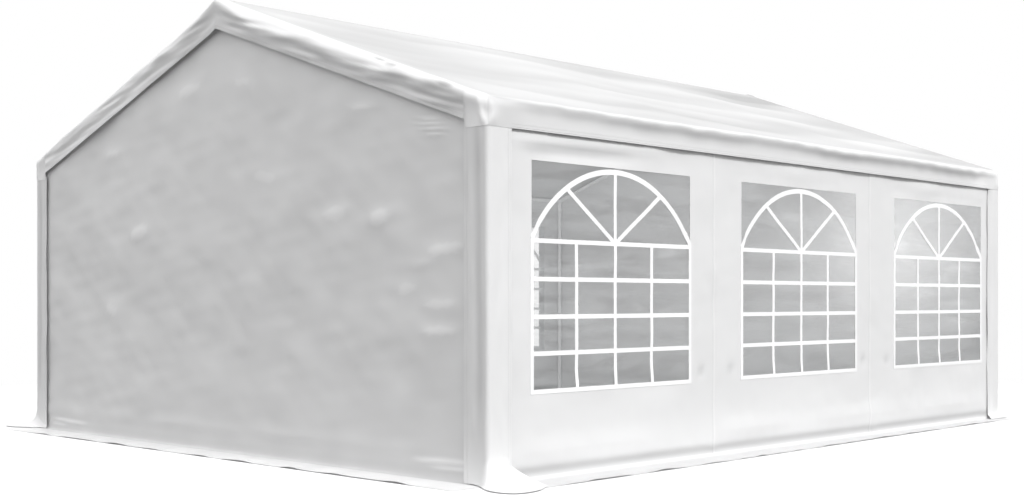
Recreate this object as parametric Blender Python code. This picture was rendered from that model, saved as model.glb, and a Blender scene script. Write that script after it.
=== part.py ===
"""A marquee tent, 5 m by 6 m: a steel tube frame in three bays, four fabric walls with
clear windows along both long sides, and one roof cover that folds down over the eaves.

Metres, +Z up. The origin is on the ground under the middle of the tent. The ridge runs
along X, the long walls stand at -Y (front) and +Y (back), the gables at -X (left) and
+X (right).
"""

import math

import bmesh
import bpy
from mathutils import Matrix, Vector

# Driving dimensions of the frame
FRAME_LENGTH = 5.95
FRAME_WIDTH = 4.95
BAYS = 3
EAVE_HEIGHT = 2.07
RIDGE_HEIGHT = 2.95
TUBE_RADIUS = 0.019
TUBE_SIDES = 16

# Joint fittings: sockets that the tubes slide into
SOCKET_LENGTH = 0.12
SOCKET_STOP = 0.045
PURLIN_SOCKET_RADIUS = 0.0222
LEG_SOCKET_RADIUS = 0.0219
RAFTER_SOCKET_RADIUS = 0.0216
SOCKET_BORE_RADIUS = 0.0197
SOCKET_END = 0.0225

# Foot plates
FOOT_PLATE = 0.1
FOOT_THICKNESS = 0.004

# Cloth, modelled thicker than the real sheet
CLOTH = 0.004
FILM = 0.0015
GAP = 0.0003
VALANCE_STAND_OFF = 0.02
LONG_VALANCE_BOTTOM = 1.924
GABLE_VALANCE_APEX = 2.773
GABLE_VALANCE_FOOT = 1.972
CORNER_STRIP = 0.178
GABLE_STRIP_FOOT = 0.022
LONG_WALL_TOP = 2.06
GABLE_WALL_RISE = 0.018

# Ground skirt of the walls and ground flap of the corner strips
SKIRT = 0.26
SKIRT_BEND = 0.06
FLAP_REACH = 0.314
FLAP_BEND = 0.1
FLAP_SIDE = 0.1
FLAP_INSIDE = 0.02
FLAP_ROUNDING = 0.07
BEND_STEPS = 5

# Windows in the long walls
WINDOW_WIDTH = 1.43
WINDOW_SHIFT = 0.035
WINDOW_BOTTOM = 0.478
WINDOW_TOP = 1.768
FILM_LAP = 0.02

# Places worked out from the sizes above
HALF_LENGTH = FRAME_LENGTH / 2
HALF_WIDTH = FRAME_WIDTH / 2
BAY = FRAME_LENGTH / BAYS
FRAME_PLACES = [-HALF_LENGTH + BAY * i for i in range(BAYS + 1)]
SLOPE = (RIDGE_HEIGHT - EAVE_HEIGHT) / HALF_WIDTH
SLOPE_COSINE = 1 / math.hypot(1, SLOPE)
WALL_INSIDE = PURLIN_SOCKET_RADIUS + 2 * GAP
WALL_OUTSIDE = WALL_INSIDE + CLOTH
COVER_INSIDE = WALL_OUTSIDE + VALANCE_STAND_OFF
COVER_OUTSIDE = COVER_INSIDE + CLOTH
ROOF_UNDERSIDE = WALL_INSIDE / SLOPE_COSINE
ROOF_TOP = (WALL_INSIDE + CLOTH) / SLOPE_COSINE
WELD = 0.00001

QUARTER = math.pi / 2
TURN_TO = {"X": (QUARTER, 0, QUARTER), "Y": (QUARTER, 0, 0), "Z": (0, 0, 0)}


def clear_scene():
    for item in list(bpy.data.objects):
        bpy.data.objects.remove(item, do_unlink=True)


def new_collection(name):
    collection = bpy.data.collections.new(name)
    bpy.context.scene.collection.children.link(collection)
    return collection


def new_material(name, colour, roughness, metallic=0.0, alpha=1.0):
    material = bpy.data.materials.new(name)
    material.use_nodes = True
    shader = material.node_tree.nodes["Principled BSDF"]
    shader.inputs["Base Color"].default_value = (*colour, 1)
    shader.inputs["Roughness"].default_value = roughness
    shader.inputs["Metallic"].default_value = metallic
    shader.inputs["Alpha"].default_value = alpha
    return material


def move_to(item, collection):
    for holder in list(item.users_collection):
        holder.objects.unlink(item)
    collection.objects.link(item)


def finish_part(item, name, material, smooth=False):
    """Names a sub-part, gives it its material and puts it with the tent's parts."""
    item.name = name
    item.data.name = name
    item.data.materials.clear()
    item.data.materials.append(material)
    if smooth and item.type == "MESH":
        item.data.shade_smooth()
        item.data.set_sharp_from_angle(angle=math.radians(40))
    move_to(item, parts)
    item.parent = tent
    return item


def as_cutter(item):
    item.hide_render = True
    item.display_type = "WIRE"
    move_to(item, cutters)
    return item


def rod_mesh(start, end, radius):
    """A round bar between two points, as a mesh object."""
    start = Vector(start)
    end = Vector(end)
    bpy.ops.mesh.primitive_cylinder_add(
        vertices=TUBE_SIDES,
        radius=radius,
        depth=(end - start).length,
        location=(start + end) / 2,
        rotation=(end - start).to_track_quat("Z", "Y").to_euler(),
    )
    return bpy.context.object


def box(low, high):
    """A box between two corners, as a mesh object with its scale applied."""
    low = Vector(low)
    high = Vector(high)
    bpy.ops.mesh.primitive_cube_add(size=1, location=(low + high) / 2)
    item = bpy.context.object
    item.data.transform(Matrix.Diagonal((*(high - low), 1)))
    return item


def outline(points, along, low, high):
    """A flat outline extruded along an axis, as a mesh object.

    Along X the outline's two numbers are Y and Z, along Y they are X and Z, and along Z
    they are X and Y.
    """
    curve = bpy.data.curves.new("outline", "CURVE")
    curve.dimensions = "2D"
    curve.fill_mode = "BOTH"
    curve.extrude = (high - low) / 2
    spline = curve.splines.new("POLY")
    spline.points.add(len(points) - 1)
    for point, (across, up) in zip(spline.points, points):
        point.co = (across, up, 0, 1)
    spline.use_cyclic_u = True
    item = bpy.data.objects.new("outline", curve)
    item.rotation_euler = TURN_TO[along]
    middle = (low + high) / 2
    item.location = {"X": (middle, 0, 0), "Y": (0, middle, 0), "Z": (0, 0, middle)}[along]
    bpy.context.scene.collection.objects.link(item)
    return curve_to_mesh(item)


def curve_to_mesh(item):
    """The mesh object of a curve, with its caps welded to its sides."""
    bpy.context.view_layer.update()
    graph = bpy.context.evaluated_depsgraph_get()
    mesh = bpy.data.meshes.new_from_object(item.evaluated_get(graph))
    work = bmesh.new()
    work.from_mesh(mesh)
    bmesh.ops.remove_doubles(work, verts=work.verts, dist=WELD)
    work.to_mesh(mesh)
    work.free()
    result = bpy.data.objects.new(item.name, mesh)
    result.matrix_world = item.matrix_world.copy()
    bpy.context.scene.collection.objects.link(result)
    bpy.data.objects.remove(item, do_unlink=True)
    return result


def boolean(item, operation, other):
    """Joins, cuts or crosses an object with another, which becomes a hidden cutter."""
    as_cutter(other)
    modifier = item.modifiers.new(operation.lower(), "BOOLEAN")
    modifier.operation = operation
    modifier.solver = "EXACT"
    modifier.object = other
    return item


def settled(item):
    """The mesh of an object with its modifiers and place in it. Its cutters are removed."""
    used = [modifier.object for modifier in item.modifiers]
    bpy.context.view_layer.update()
    graph = bpy.context.evaluated_depsgraph_get()
    mesh = bpy.data.meshes.new_from_object(item.evaluated_get(graph))
    mesh.transform(item.matrix_world)
    for other in [*used, item]:
        bpy.data.objects.remove(other, do_unlink=True)
    return mesh


def placed(mesh, turn=0.0, location=(0, 0, 0)):
    """An object of its own for a mesh, turned about Z and placed."""
    item = bpy.data.objects.new(mesh.name, mesh)
    item.rotation_euler = (0, 0, turn)
    item.location = location
    bpy.context.scene.collection.objects.link(item)
    return item


def bend(centre, radius, start_degrees, end_degrees):
    """Points along a quarter turn of cloth, both ends included."""
    points = []
    for step in range(BEND_STEPS + 1):
        angle = math.radians(start_degrees + (end_degrees - start_degrees) * step / BEND_STEPS)
        points.append((centre[0] + radius * math.cos(angle), centre[1] + radius * math.sin(angle)))
    return points


def hanging_profile(face, top, reach, radius, floor):
    """Cross-section of cloth that hangs from top at the distance face, then turns outwards
    over a bend and lies at the height floor until the distance reach. Its first number
    runs outwards and its second upwards."""
    centre = (face + radius, floor + CLOTH + radius)
    outer = bend(centre, radius, 180, 270)
    inner = bend(centre, radius + CLOTH, 270, 180)
    return [(face, top), *outer, (reach, floor + CLOTH), (reach, floor), *inner, (face - CLOTH, top)]


def socket_fitting(arms):
    """The mesh of a joint fitting around its own origin. Each arm is a direction and its
    outer radius. The first arm runs through the middle, so that it covers the others'
    ends."""
    (first, first_radius), *others = arms
    ends = [direction for direction, _ in arms]
    back = SOCKET_LENGTH if Vector((-first[0], 0, 0)) in ends else SOCKET_END
    body = rod_mesh(-first * back, first * SOCKET_LENGTH, first_radius)
    for direction, radius in others:
        if direction != -first:
            boolean(body, "UNION", rod_mesh((0, 0, 0), direction * SOCKET_LENGTH, radius))
    for direction in ends:
        bore = rod_mesh(direction * SOCKET_STOP, direction * SOCKET_LENGTH * 1.2, SOCKET_BORE_RADIUS)
        boolean(body, "DIFFERENCE", bore)
    return settled(body)


def leg_mesh(inward):
    """A leg standing at its own origin with its foot plate moved inwards."""
    leg = rod_mesh((0, 0, FOOT_THICKNESS / 2), (0, 0, EAVE_HEIGHT - SOCKET_STOP - GAP), TUBE_RADIUS)
    half = FOOT_PLATE / 2
    middle = Vector(inward) * (half - TUBE_RADIUS)
    low = middle - Vector((half, half, 0))
    high = middle + Vector((half, half, FOOT_THICKNESS))
    boolean(leg, "UNION", box(low, high))
    return settled(leg)


def make_frame():
    """Legs, rafters, purlins and the fittings that join them, from left to right."""
    rise = Vector((0, 1, SLOPE)).normalized()
    fall = Vector((0, 1, -SLOPE)).normalized()
    down = Vector((0, 0, -1))
    along = Vector((1, 0, 0))
    last = len(FRAME_PLACES) - 1
    eave_arms = [(down, LEG_SOCKET_RADIUS), (rise, RAFTER_SOCKET_RADIUS)]
    ridge_arms = [(fall, RAFTER_SOCKET_RADIUS), (Vector((0, -fall.y, fall.z)), RAFTER_SOCKET_RADIUS)]
    ahead = (along, PURLIN_SOCKET_RADIUS)
    behind = (-along, PURLIN_SOCKET_RADIUS)
    purlin_arms = {"first": [ahead], "middle": [ahead, behind], "last": [behind]}
    eave_meshes = {}
    ridge_meshes = {}
    for place, runs in purlin_arms.items():
        eave_meshes[place] = socket_fitting(runs + eave_arms)
        ridge_meshes[place] = socket_fitting(runs + ridge_arms)
    opposite = {"first": "last", "middle": "middle", "last": "first"}
    legs = {"first": leg_mesh((1, 1, 0)), "middle": leg_mesh((0, 1, 0)), "last": leg_mesh((-1, 1, 0))}

    for index, x in enumerate(FRAME_PLACES):
        place = "first" if index == 0 else "last" if index == last else "middle"
        number = index + 1
        ridge = Vector((x, 0, RIDGE_HEIGHT))
        finish_part(placed(ridge_meshes[place], 0, ridge), f"ridge_joint_{number}", steel, True)
        for side, sign in (("front", -1), ("back", 1)):
            turn = 0 if side == "front" else math.pi
            kind = place if side == "front" else opposite[place]
            eave = Vector((x, sign * HALF_WIDTH, EAVE_HEIGHT))
            finish_part(placed(eave_meshes[kind], turn, eave), f"eave_joint_{side}_{number}", steel, True)
            foot = (eave.x, eave.y, 0)
            finish_part(placed(legs[kind], turn, foot), f"leg_{side}_{number}", steel, True)
            step = (ridge - eave).normalized() * (SOCKET_STOP + GAP)
            rafter = rod_mesh(eave + step, ridge - step, TUBE_RADIUS)
            finish_part(rafter, f"rafter_{side}_{number}", steel, True)

    inset = Vector((SOCKET_STOP + GAP, 0, 0))
    rows = {
        "front": (-HALF_WIDTH, EAVE_HEIGHT),
        "back": (HALF_WIDTH, EAVE_HEIGHT),
        "ridge": (0, RIDGE_HEIGHT),
    }
    for row, (y, z) in rows.items():
        for index in range(BAYS):
            start = Vector((FRAME_PLACES[index], y, z)) + inset
            end = Vector((FRAME_PLACES[index + 1], y, z)) - inset
            name = f"ridge_purlin_{index + 1}" if row == "ridge" else f"eave_purlin_{row}_{index + 1}"
            finish_part(rod_mesh(start, end, TUBE_RADIUS), name, steel, True)


def window_middle(index):
    """The middle of a bay's window along X. The walls are sewn with their windows a little
    to one side of the middles of the bays."""
    return -HALF_LENGTH + BAY * (index + 0.5) + WINDOW_SHIFT


def make_long_walls():
    """Two long walls, each one sheet with three window openings and its ground skirt."""
    face = HALF_WIDTH + WALL_OUTSIDE
    profile = hanging_profile(face, LONG_WALL_TOP, face + SKIRT, SKIRT_BEND, 0)
    end = HALF_LENGTH + WALL_INSIDE - GAP
    for side, sign in (("front", -1), ("back", 1)):
        wall = outline([(sign * out, up) for out, up in profile], "X", -end, end)
        near, far = sorted((sign * (face + CLOTH), sign * (face - 2 * CLOTH)))
        for index in range(BAYS):
            low = (window_middle(index) - WINDOW_WIDTH / 2, near, WINDOW_BOTTOM)
            high = (window_middle(index) + WINDOW_WIDTH / 2, far, WINDOW_TOP)
            boolean(wall, "DIFFERENCE", box(low, high))
        finish_part(placed(settled(wall)), f"{side}_wall", cloth)


def make_windows():
    """Clear films lapped behind the window openings."""
    outside = HALF_WIDTH + WALL_INSIDE - GAP
    reach = WINDOW_WIDTH / 2 + FILM_LAP
    for side, sign in (("front", -1), ("back", 1)):
        near, far = sorted((sign * outside, sign * (outside - FILM)))
        for index in range(BAYS):
            low = (window_middle(index) - reach, near, WINDOW_BOTTOM - FILM_LAP)
            high = (window_middle(index) + reach, far, WINDOW_TOP + FILM_LAP)
            finish_part(box(low, high), f"{side}_window_{index + 1}", film)


def make_gable_walls():
    """Two gable walls: a hanging sheet with a skirt, cut to the slope of the roof."""
    face = HALF_LENGTH + WALL_OUTSIDE
    side = HALF_WIDTH + WALL_OUTSIDE
    top = RIDGE_HEIGHT + GABLE_WALL_RISE
    profile = hanging_profile(face, top + CLOTH, face + SKIRT, SKIRT_BEND, 0)
    wall = outline([(-out, up) for out, up in profile], "Y", -side, side)
    shoulder = top - SLOPE * (side + CLOTH)
    room = side + CLOTH
    shape = [(-room, -CLOTH), (room, -CLOTH), (room, shoulder), (0, top), (-room, shoulder)]
    boolean(wall, "INTERSECT", outline(shape, "X", -face - SKIRT - CLOTH, -face + 2 * CLOTH))
    mesh = settled(wall)
    finish_part(placed(mesh), "left_gable_wall", cloth)
    finish_part(placed(mesh, math.pi), "right_gable_wall", cloth)


def roof_section(half_width, lift, foot):
    """The five corners of the roof's cross-section, lifted above the rafters' middle lines."""
    ridge = RIDGE_HEIGHT + lift
    shoulder = ridge - SLOPE * half_width
    feet = [(-half_width, foot), (half_width, foot)]
    return [*feet, (half_width, shoulder), (0, ridge), (-half_width, shoulder)]


def make_roof():
    """The roof cover: both slopes, with a valance folded down on all four sides."""
    outside = HALF_LENGTH + COVER_OUTSIDE
    inside = HALF_LENGTH + COVER_INSIDE
    shape = roof_section(HALF_WIDTH + COVER_OUTSIDE, ROOF_TOP, LONG_VALANCE_BOTTOM)
    roof = outline(shape, "X", -outside, outside)
    below = LONG_VALANCE_BOTTOM - SKIRT
    hollow = roof_section(HALF_WIDTH + COVER_INSIDE, ROOF_UNDERSIDE, below)
    boolean(roof, "DIFFERENCE", outline(hollow, "X", -inside, inside))
    edge = HALF_WIDTH + COVER_OUTSIDE - CORNER_STRIP
    gable = [(-edge, below), (edge, below), (edge, GABLE_VALANCE_FOOT)]
    gable += [(0, GABLE_VALANCE_APEX), (-edge, GABLE_VALANCE_FOOT)]
    boolean(roof, "DIFFERENCE", outline(gable, "X", -outside - SKIRT, outside + SKIRT))
    finish_part(placed(settled(roof)), "roof_cover", cloth)


def corner_cover(side_x, side_y):
    """A corner strip of the cover: an angle of cloth from the valance down to the ground,
    whose long-side half turns outwards into a flap on the ground."""
    face_x = HALF_LENGTH + COVER_OUTSIDE
    face_y = HALF_WIDTH + COVER_OUTSIDE
    top = LONG_VALANCE_BOTTOM - GAP
    floor = CLOTH + GAP
    profile = hanging_profile(face_y, top, face_y + FLAP_REACH, FLAP_BEND, floor)
    low_x, high_x = sorted((side_x * (face_x - CORNER_STRIP), side_x * face_x))
    strip = outline([(side_y * out, up) for out, up in profile], "X", low_x, high_x)
    near_x, far_x = sorted((side_x * (face_x - CLOTH), side_x * face_x))
    near_y, far_y = sorted((side_y * (face_y - CORNER_STRIP), side_y * (face_y - CLOTH / 2)))
    boolean(strip, "UNION", box((near_x, near_y, GABLE_STRIP_FOOT), (far_x, far_y, top)))
    start = face_y + FLAP_BEND
    end = face_y + FLAP_REACH
    inner = face_x - CORNER_STRIP - FLAP_INSIDE
    outer = face_x + FLAP_SIDE
    flap = [(inner, start), (inner, end - FLAP_ROUNDING), (inner + FLAP_ROUNDING, end)]
    flap += [(outer - FLAP_ROUNDING, end), (outer, end - FLAP_ROUNDING), (outer, start)]
    shape = [(side_x * x, side_y * y) for x, y in flap]
    boolean(strip, "UNION", outline(shape, "Z", floor, floor + CLOTH))
    return placed(settled(strip))


def make_corner_covers():
    for row, side_y in (("front", -1), ("back", 1)):
        for end, side_x in (("left", -1), ("right", 1)):
            finish_part(corner_cover(side_x, side_y), f"corner_cover_{row}_{end}", cloth)


clear_scene()
parts = new_collection("marquee_tent")
cutters = new_collection("cutters")
cloth = new_material("white_cloth", (0.86, 0.86, 0.87), 0.45)
film = new_material("clear_film", (0.9, 0.92, 0.93), 0.1, alpha=0.25)
steel = new_material("white_coated_steel", (0.8, 0.8, 0.8), 0.35, metallic=0.2)
tent = bpy.data.objects.new("tent", None)
parts.objects.link(tent)

make_frame()
make_long_walls()
make_windows()
make_gable_walls()
make_roof()
make_corner_covers()
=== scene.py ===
# %% [markdown]
# A marquee tent, dressed. The steel frame and the plain panels come as fixed parts. This
# lesson makes the fabric around them: a roof cover, four walls, four corner strips and six
# clear windows. Each is a thin sheet with the folds that it has when it hangs.

# %% Load the frame
import math
import random

import bpy
import numpy as np
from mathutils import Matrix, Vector


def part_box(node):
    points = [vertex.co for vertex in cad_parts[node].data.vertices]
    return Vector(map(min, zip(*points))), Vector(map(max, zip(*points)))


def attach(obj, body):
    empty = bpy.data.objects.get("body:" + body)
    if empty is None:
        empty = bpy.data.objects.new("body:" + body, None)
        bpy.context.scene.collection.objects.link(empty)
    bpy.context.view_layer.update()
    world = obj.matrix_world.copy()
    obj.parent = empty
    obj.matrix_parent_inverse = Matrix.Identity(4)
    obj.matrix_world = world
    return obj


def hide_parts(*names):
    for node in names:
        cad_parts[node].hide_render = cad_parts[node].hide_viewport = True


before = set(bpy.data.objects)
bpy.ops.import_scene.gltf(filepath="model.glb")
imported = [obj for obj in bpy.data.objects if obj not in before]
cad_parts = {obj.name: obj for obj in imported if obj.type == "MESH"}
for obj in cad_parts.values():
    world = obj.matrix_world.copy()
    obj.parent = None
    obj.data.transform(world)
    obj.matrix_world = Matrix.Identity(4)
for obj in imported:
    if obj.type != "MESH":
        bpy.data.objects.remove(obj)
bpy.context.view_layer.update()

# %% [markdown]
# Sizes that the frame has are read from it, and the others are the tent's own, in metres. The
# long walls stand at -Y and +Y, the gables at -X and +X, and the ridge runs along X.

# %% Read the tent's sizes
cover_low, cover_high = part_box("roof_cover")
wall_low, wall_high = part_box("front_wall")
gable_low, gable_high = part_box("left_gable_wall")
film_low, film_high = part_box("front_window_1")
ridge_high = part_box("ridge_purlin_1")[1]
eave_low, eave_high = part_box("eave_purlin_front_1")

PANEL = 0.004
SHEET = 0.0016
NEARLY = 0.001
END_X = cover_high.x
SIDE_Y = cover_high.y
RIDGE_Z = cover_high.z
VALANCE_Z = cover_low.z
# Heights of the gable valance's hem, under the ridge and beside a corner strip.
GABLE_APEX_Z = 2.773
GABLE_FOOT_Z = 1.972
STRIP = 0.178
WALL_Y = wall_high.y - PANEL
GABLE_OUT = PANEL - gable_high.x
SLOPE = (ridge_high.z - eave_high.z) / (eave_high.y + eave_low.y) * -2
RAFTERS = [sum(corner.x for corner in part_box(f"rafter_front_{n}")) / 2 for n in (1, 2, 3, 4)]
BAYS = len(RAFTERS) - 1
print("slope", round(SLOPE, 4), "rafters", [round(x, 3) for x in RAFTERS])

# %% [markdown]
# Operators act on whatever is selected, and a loaded frame is selected. These helpers clear
# the selection first, and read or write all of a mesh's points as one array.


# %% Helpers for objects
def deselect():
    if bpy.context.object and bpy.context.object.mode != "OBJECT":
        bpy.ops.object.mode_set(mode="OBJECT")
    bpy.ops.object.select_all(action="DESELECT")


def activate(item):
    deselect()
    item.select_set(True)
    bpy.context.view_layer.objects.active = item


def open_edit(item):
    """Opens edit mode with everything selected."""
    activate(item)
    bpy.ops.object.mode_set(mode="EDIT")
    bpy.ops.mesh.select_all(action="SELECT")


def close_edit():
    bpy.ops.object.mode_set(mode="OBJECT")


def apply_modifier(item, name):
    activate(item)
    bpy.ops.object.modifier_apply(modifier=name)


deselect()
print(len(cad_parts), "frame nodes loaded")


# %% Helpers for a mesh's points
def points_of(item):
    places = np.empty(len(item.data.vertices) * 3)
    item.data.vertices.foreach_get("co", places)
    return places.reshape(-1, 3)


def set_points(item, *columns):
    """Moves the points to x, y and z, given as three arrays or as one with three columns."""
    places = columns[0] if len(columns) == 1 else np.stack(columns, axis=1)
    item.data.vertices.foreach_set("co", np.asarray(places, float).ravel())
    item.data.update()


def normals_of(item):
    normals = np.empty(len(item.data.vertices) * 3)
    item.data.vertex_normals.foreach_get("vector", normals)
    return normals.reshape(-1, 3)


def edges_of(item):
    ends = np.empty(len(item.data.edges) * 2, dtype=np.int32)
    item.data.edges.foreach_get("vertices", ends)
    return ends.reshape(-1, 2)


def store(item, name, values):
    """Keeps a number for each point, for a material to read."""
    attribute = item.data.attributes.new(name, "FLOAT", "POINT")
    attribute.data.foreach_set("value", np.asarray(values, np.float32))


# %% [markdown]
# Cloth is a grid of squares. Its columns and rows keep their places on the flat, uncut cloth
# as a UV map in metres, so that a weave follows every fold. Rows are set close together only
# where the cloth turns sharply.


# %% Helpers for a flat grid of cloth
def spaced(low, high, step):
    """Places from low to high, about a step apart."""
    count = max(1, round((high - low) / step))
    return list(np.linspace(low, high, count + 1))


def chained(*runs):
    """Runs of places joined into one list, with each shared end once."""
    places = [runs[0][0]]
    for run in runs:
        places += run[1:]
    return places


def cloth_grid(name, columns, rows):
    """A grid object with its column and row numbers. Its UV map holds the flat places."""
    deselect()
    last_column = len(columns) - 1
    last_row = len(rows) - 1
    bpy.ops.mesh.primitive_grid_add(x_subdivisions=last_column, y_subdivisions=last_row, size=2)
    item = bpy.context.object
    item.name = name
    item.data.name = name
    flat = points_of(item)
    column = np.rint((flat[:, 0] + 1) / 2 * last_column).astype(int)
    row = np.rint((flat[:, 1] + 1) / 2 * last_row).astype(int)
    across = np.array(columns)[column]
    along = np.array(rows)[row]
    corners = np.empty(len(item.data.loops), dtype=np.int32)
    item.data.loops.foreach_get("vertex_index", corners)
    places = np.stack([across[corners], along[corners]], axis=1)
    item.data.uv_layers[0].data.foreach_set("uv", places.ravel())
    return item, across, along


def hanging_grid(name, columns, rows):
    """A grid whose rows count downwards from its top edge."""
    item, across, along = cloth_grid(name, columns, [-row for row in reversed(rows)])
    return item, across, -along


# %% Helpers that work on chosen faces
def select_faces(item, wanted):
    """Opens edit mode with only the faces selected whose middle the test picks."""
    activate(item)
    bpy.ops.object.mode_set(mode="EDIT")
    bpy.ops.mesh.select_mode(type="FACE")
    bpy.ops.mesh.select_all(action="DESELECT")
    close_edit()
    for face in item.data.polygons:
        face.select = wanted(face.center)
    bpy.ops.object.mode_set(mode="EDIT")


def delete_faces(item, unwanted):
    select_faces(item, unwanted)
    bpy.ops.mesh.delete(type="FACE")
    close_edit()


def subdivide_where(item, wanted):
    """Splits each face that the test picks into four."""
    select_faces(item, wanted)
    bpy.ops.mesh.subdivide(number_cuts=1)
    close_edit()


def merge_points(item, distance):
    open_edit(item)
    bpy.ops.mesh.remove_doubles(threshold=distance)
    close_edit()


# %% [markdown]
# Folds come from a few simple fields. Soft waves are sines of many lengths added together. A
# bell is a smooth bump at one value, and a crease is a ridge along one line. Relaxed points
# have moved towards their neighbours, which turns a sharp fold into a round one.


# %% Fields that shape the cloth
def soft_waves(places, seed, shortest, longest, count=26):
    """A smooth random height for each place, mostly between -1 and 1."""
    dice = np.random.default_rng(seed)
    height = np.zeros(len(places))
    for _ in range(count):
        length = longest * (shortest / longest) ** dice.random()
        direction = dice.normal(size=places.shape[1])
        direction *= math.tau / length / np.linalg.norm(direction)
        height += np.sin(places @ direction + dice.random() * math.tau)
    return height / math.sqrt(count)


def bell(value, middle, width):
    """1 at the middle, and almost 0 at twice the width from it."""
    return np.exp(-(((value - middle) / width) ** 2))


def smooth_step(value, low, high):
    """0 up to low, 1 from high on, and a smooth rise between them."""
    share = np.clip((value - low) / (high - low), 0, 1)
    return share * share * (3 - 2 * share)


def crease(places, start, end, width, height):
    """A ridge along the line from start to end. A height below zero makes a furrow."""
    start = np.array(start, float)
    line = np.array(end, float) - start
    share = np.clip((places - start) @ line / (line @ line), 0, 1)
    away = np.linalg.norm(places - start - share[:, None] * line, axis=1)
    taper = np.sin(np.clip(share, 0.02, 0.98) * math.pi) ** 0.6
    return height * taper * bell(away, 0, width)


def creases(places, lines):
    """Several creases, each given by its start, end, width and height."""
    return sum(crease(places, *line) for line in lines)


# %% Helpers for smooth lines and round folds
def through(shares, values, wanted):
    """A smooth curve through values at shares, read at the wanted places."""
    slopes = np.gradient(values, shares)
    index = np.clip(np.searchsorted(shares, wanted) - 1, 0, len(shares) - 2)
    gap = shares[index + 1] - shares[index]
    t = (wanted - shares[index]) / gap
    first = (1 + 2 * t) * (1 - t) ** 2 * values[index] + t * (1 - t) ** 2 * gap * slopes[index]
    return first + t * t * (3 - 2 * t) * values[index + 1] - t * t * (1 - t) * gap * slopes[index + 1]


def relaxed(places, ends, weight, rounds):
    """Each point moved towards the middle of its neighbours, by its own weight."""
    count = np.bincount(ends.ravel(), minlength=len(places))[:, None]
    for _ in range(rounds):
        total = np.zeros_like(places)
        for axis in range(3):
            total[:, axis] += np.bincount(ends[:, 0], places[ends[:, 1], axis], len(places))
            total[:, axis] += np.bincount(ends[:, 1], places[ends[:, 0], axis], len(places))
        places = places + weight[:, None] * (total / count - places)
    return places


def finish_cloth(item, material, thickness=SHEET):
    """Gives the sheet its thickness, inwards, its smooth shading and its material."""
    modifier = item.modifiers.new("thickness", "SOLIDIFY")
    modifier.thickness = thickness
    modifier.offset = -1
    modifier.use_rim = True
    apply_modifier(item, "thickness")
    activate(item)
    bpy.ops.object.shade_smooth_by_angle(angle=math.radians(60))
    deselect()
    item.data.materials.append(material)


# %% [markdown]
# The camera stands low in front of the near corner, level, and its lens is shifted a little,
# as in the picture that this tent is seen in. It comes first because every later choice is
# judged through it.

# %% Place the camera
PICTURE_WIDTH = 1024
PICTURE_HEIGHT = 504
FOCAL_PIXELS = 1391.15
PICTURE_CENTRE = (535.24, 299.76)
SENSOR = 36
CAMERA_PLACE = (-8.192, -7.798, 0.997)
CAMERA_AIM = 43.618
lens = bpy.data.cameras.new("camera")
lens.sensor_width = SENSOR
lens.sensor_fit = "HORIZONTAL"
lens.lens = FOCAL_PIXELS / PICTURE_WIDTH * SENSOR
lens.shift_x = (PICTURE_WIDTH / 2 - PICTURE_CENTRE[0]) / PICTURE_WIDTH
lens.shift_y = (PICTURE_CENTRE[1] - PICTURE_HEIGHT / 2) / PICTURE_WIDTH
camera = bpy.data.objects.new("camera", lens)
camera.location = CAMERA_PLACE
camera.rotation_euler = (math.pi / 2, 0, math.radians(CAMERA_AIM - 90))
bpy.context.scene.collection.objects.link(camera)
bpy.context.scene.camera = camera
print("lens", round(lens.lens, 2), "mm")

# %% [markdown]
# Light and materials are trees of nodes. One helper adds a node and fills its inputs, each
# with a plain value or with the socket of an earlier node, and a few more do what is needed
# often: sums, a change of range, and a mix of two shaders.


# %% Helpers for nodes
def set_inputs(tree, node, values):
    """Sets each input by its name or number, or links it where the value is a socket."""
    for label, value in values.items():
        if isinstance(value, bpy.types.NodeSocket):
            tree.links.new(value, node.inputs[label])
        else:
            node.inputs[label].default_value = value


def add_node(tree, kind, values=None, **settings):
    node = tree.nodes.new("ShaderNode" + kind)
    for label, setting in settings.items():
        setattr(node, label, setting)
    set_inputs(tree, node, values or {})
    return node


def math_node(tree, operation, *values):
    """The result of a maths node. Each value is a socket or a plain number."""
    return add_node(tree, "Math", dict(enumerate(values)), operation=operation).outputs["Value"]


def map_range(tree, value, old, new, **settings):
    """A number that ran over the old range, moved to the new one."""
    values = {"Value": value, "From Min": old[0], "From Max": old[1], "To Min": new[0], "To Max": new[1]}
    return add_node(tree, "MapRange", values, **settings).outputs["Result"]


def mix_shaders(tree, share, first, second):
    return add_node(tree, "MixShader", {"Fac": share, 1: first.outputs[0], 2: second.outputs[0]})


def grey(level):
    return (level, level, level, 1)


# %% [markdown]
# The sky is bright all round, and a little brighter above the near corner. It lights the
# tent with that, but looks plain white to the camera, which a Light Path node can tell.

# %% Light the studio from the sky
SKY = 0.97
SKY_SLANT = 0.1
SKY_SIDE = Vector((-0.45, -0.5, 0.74))
bpy.context.scene.view_settings.view_transform = "Standard"
world = bpy.data.worlds.new("studio")
bpy.context.scene.world = world
world.use_nodes = True
sky = world.node_tree
sky.nodes.clear()
sky_way = add_node(sky, "TexCoord").outputs["Generated"]
facing = add_node(sky, "VectorMath", {0: sky_way, 1: SKY_SIDE}, operation="DOT_PRODUCT")
sky_strength = math_node(sky, "MULTIPLY_ADD", facing.outputs["Value"], SKY * SKY_SLANT, SKY)
lighting = add_node(sky, "Background", {"Color": grey(1), "Strength": sky_strength})
seen = add_node(sky, "Background", {"Color": grey(1)})
to_camera = add_node(sky, "LightPath").outputs["Is Camera Ray"]
both = mix_shaders(sky, to_camera, lighting, seen)
add_node(sky, "OutputWorld", {"Surface": both.outputs["Shader"]})
print("sky strength", SKY)

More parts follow.
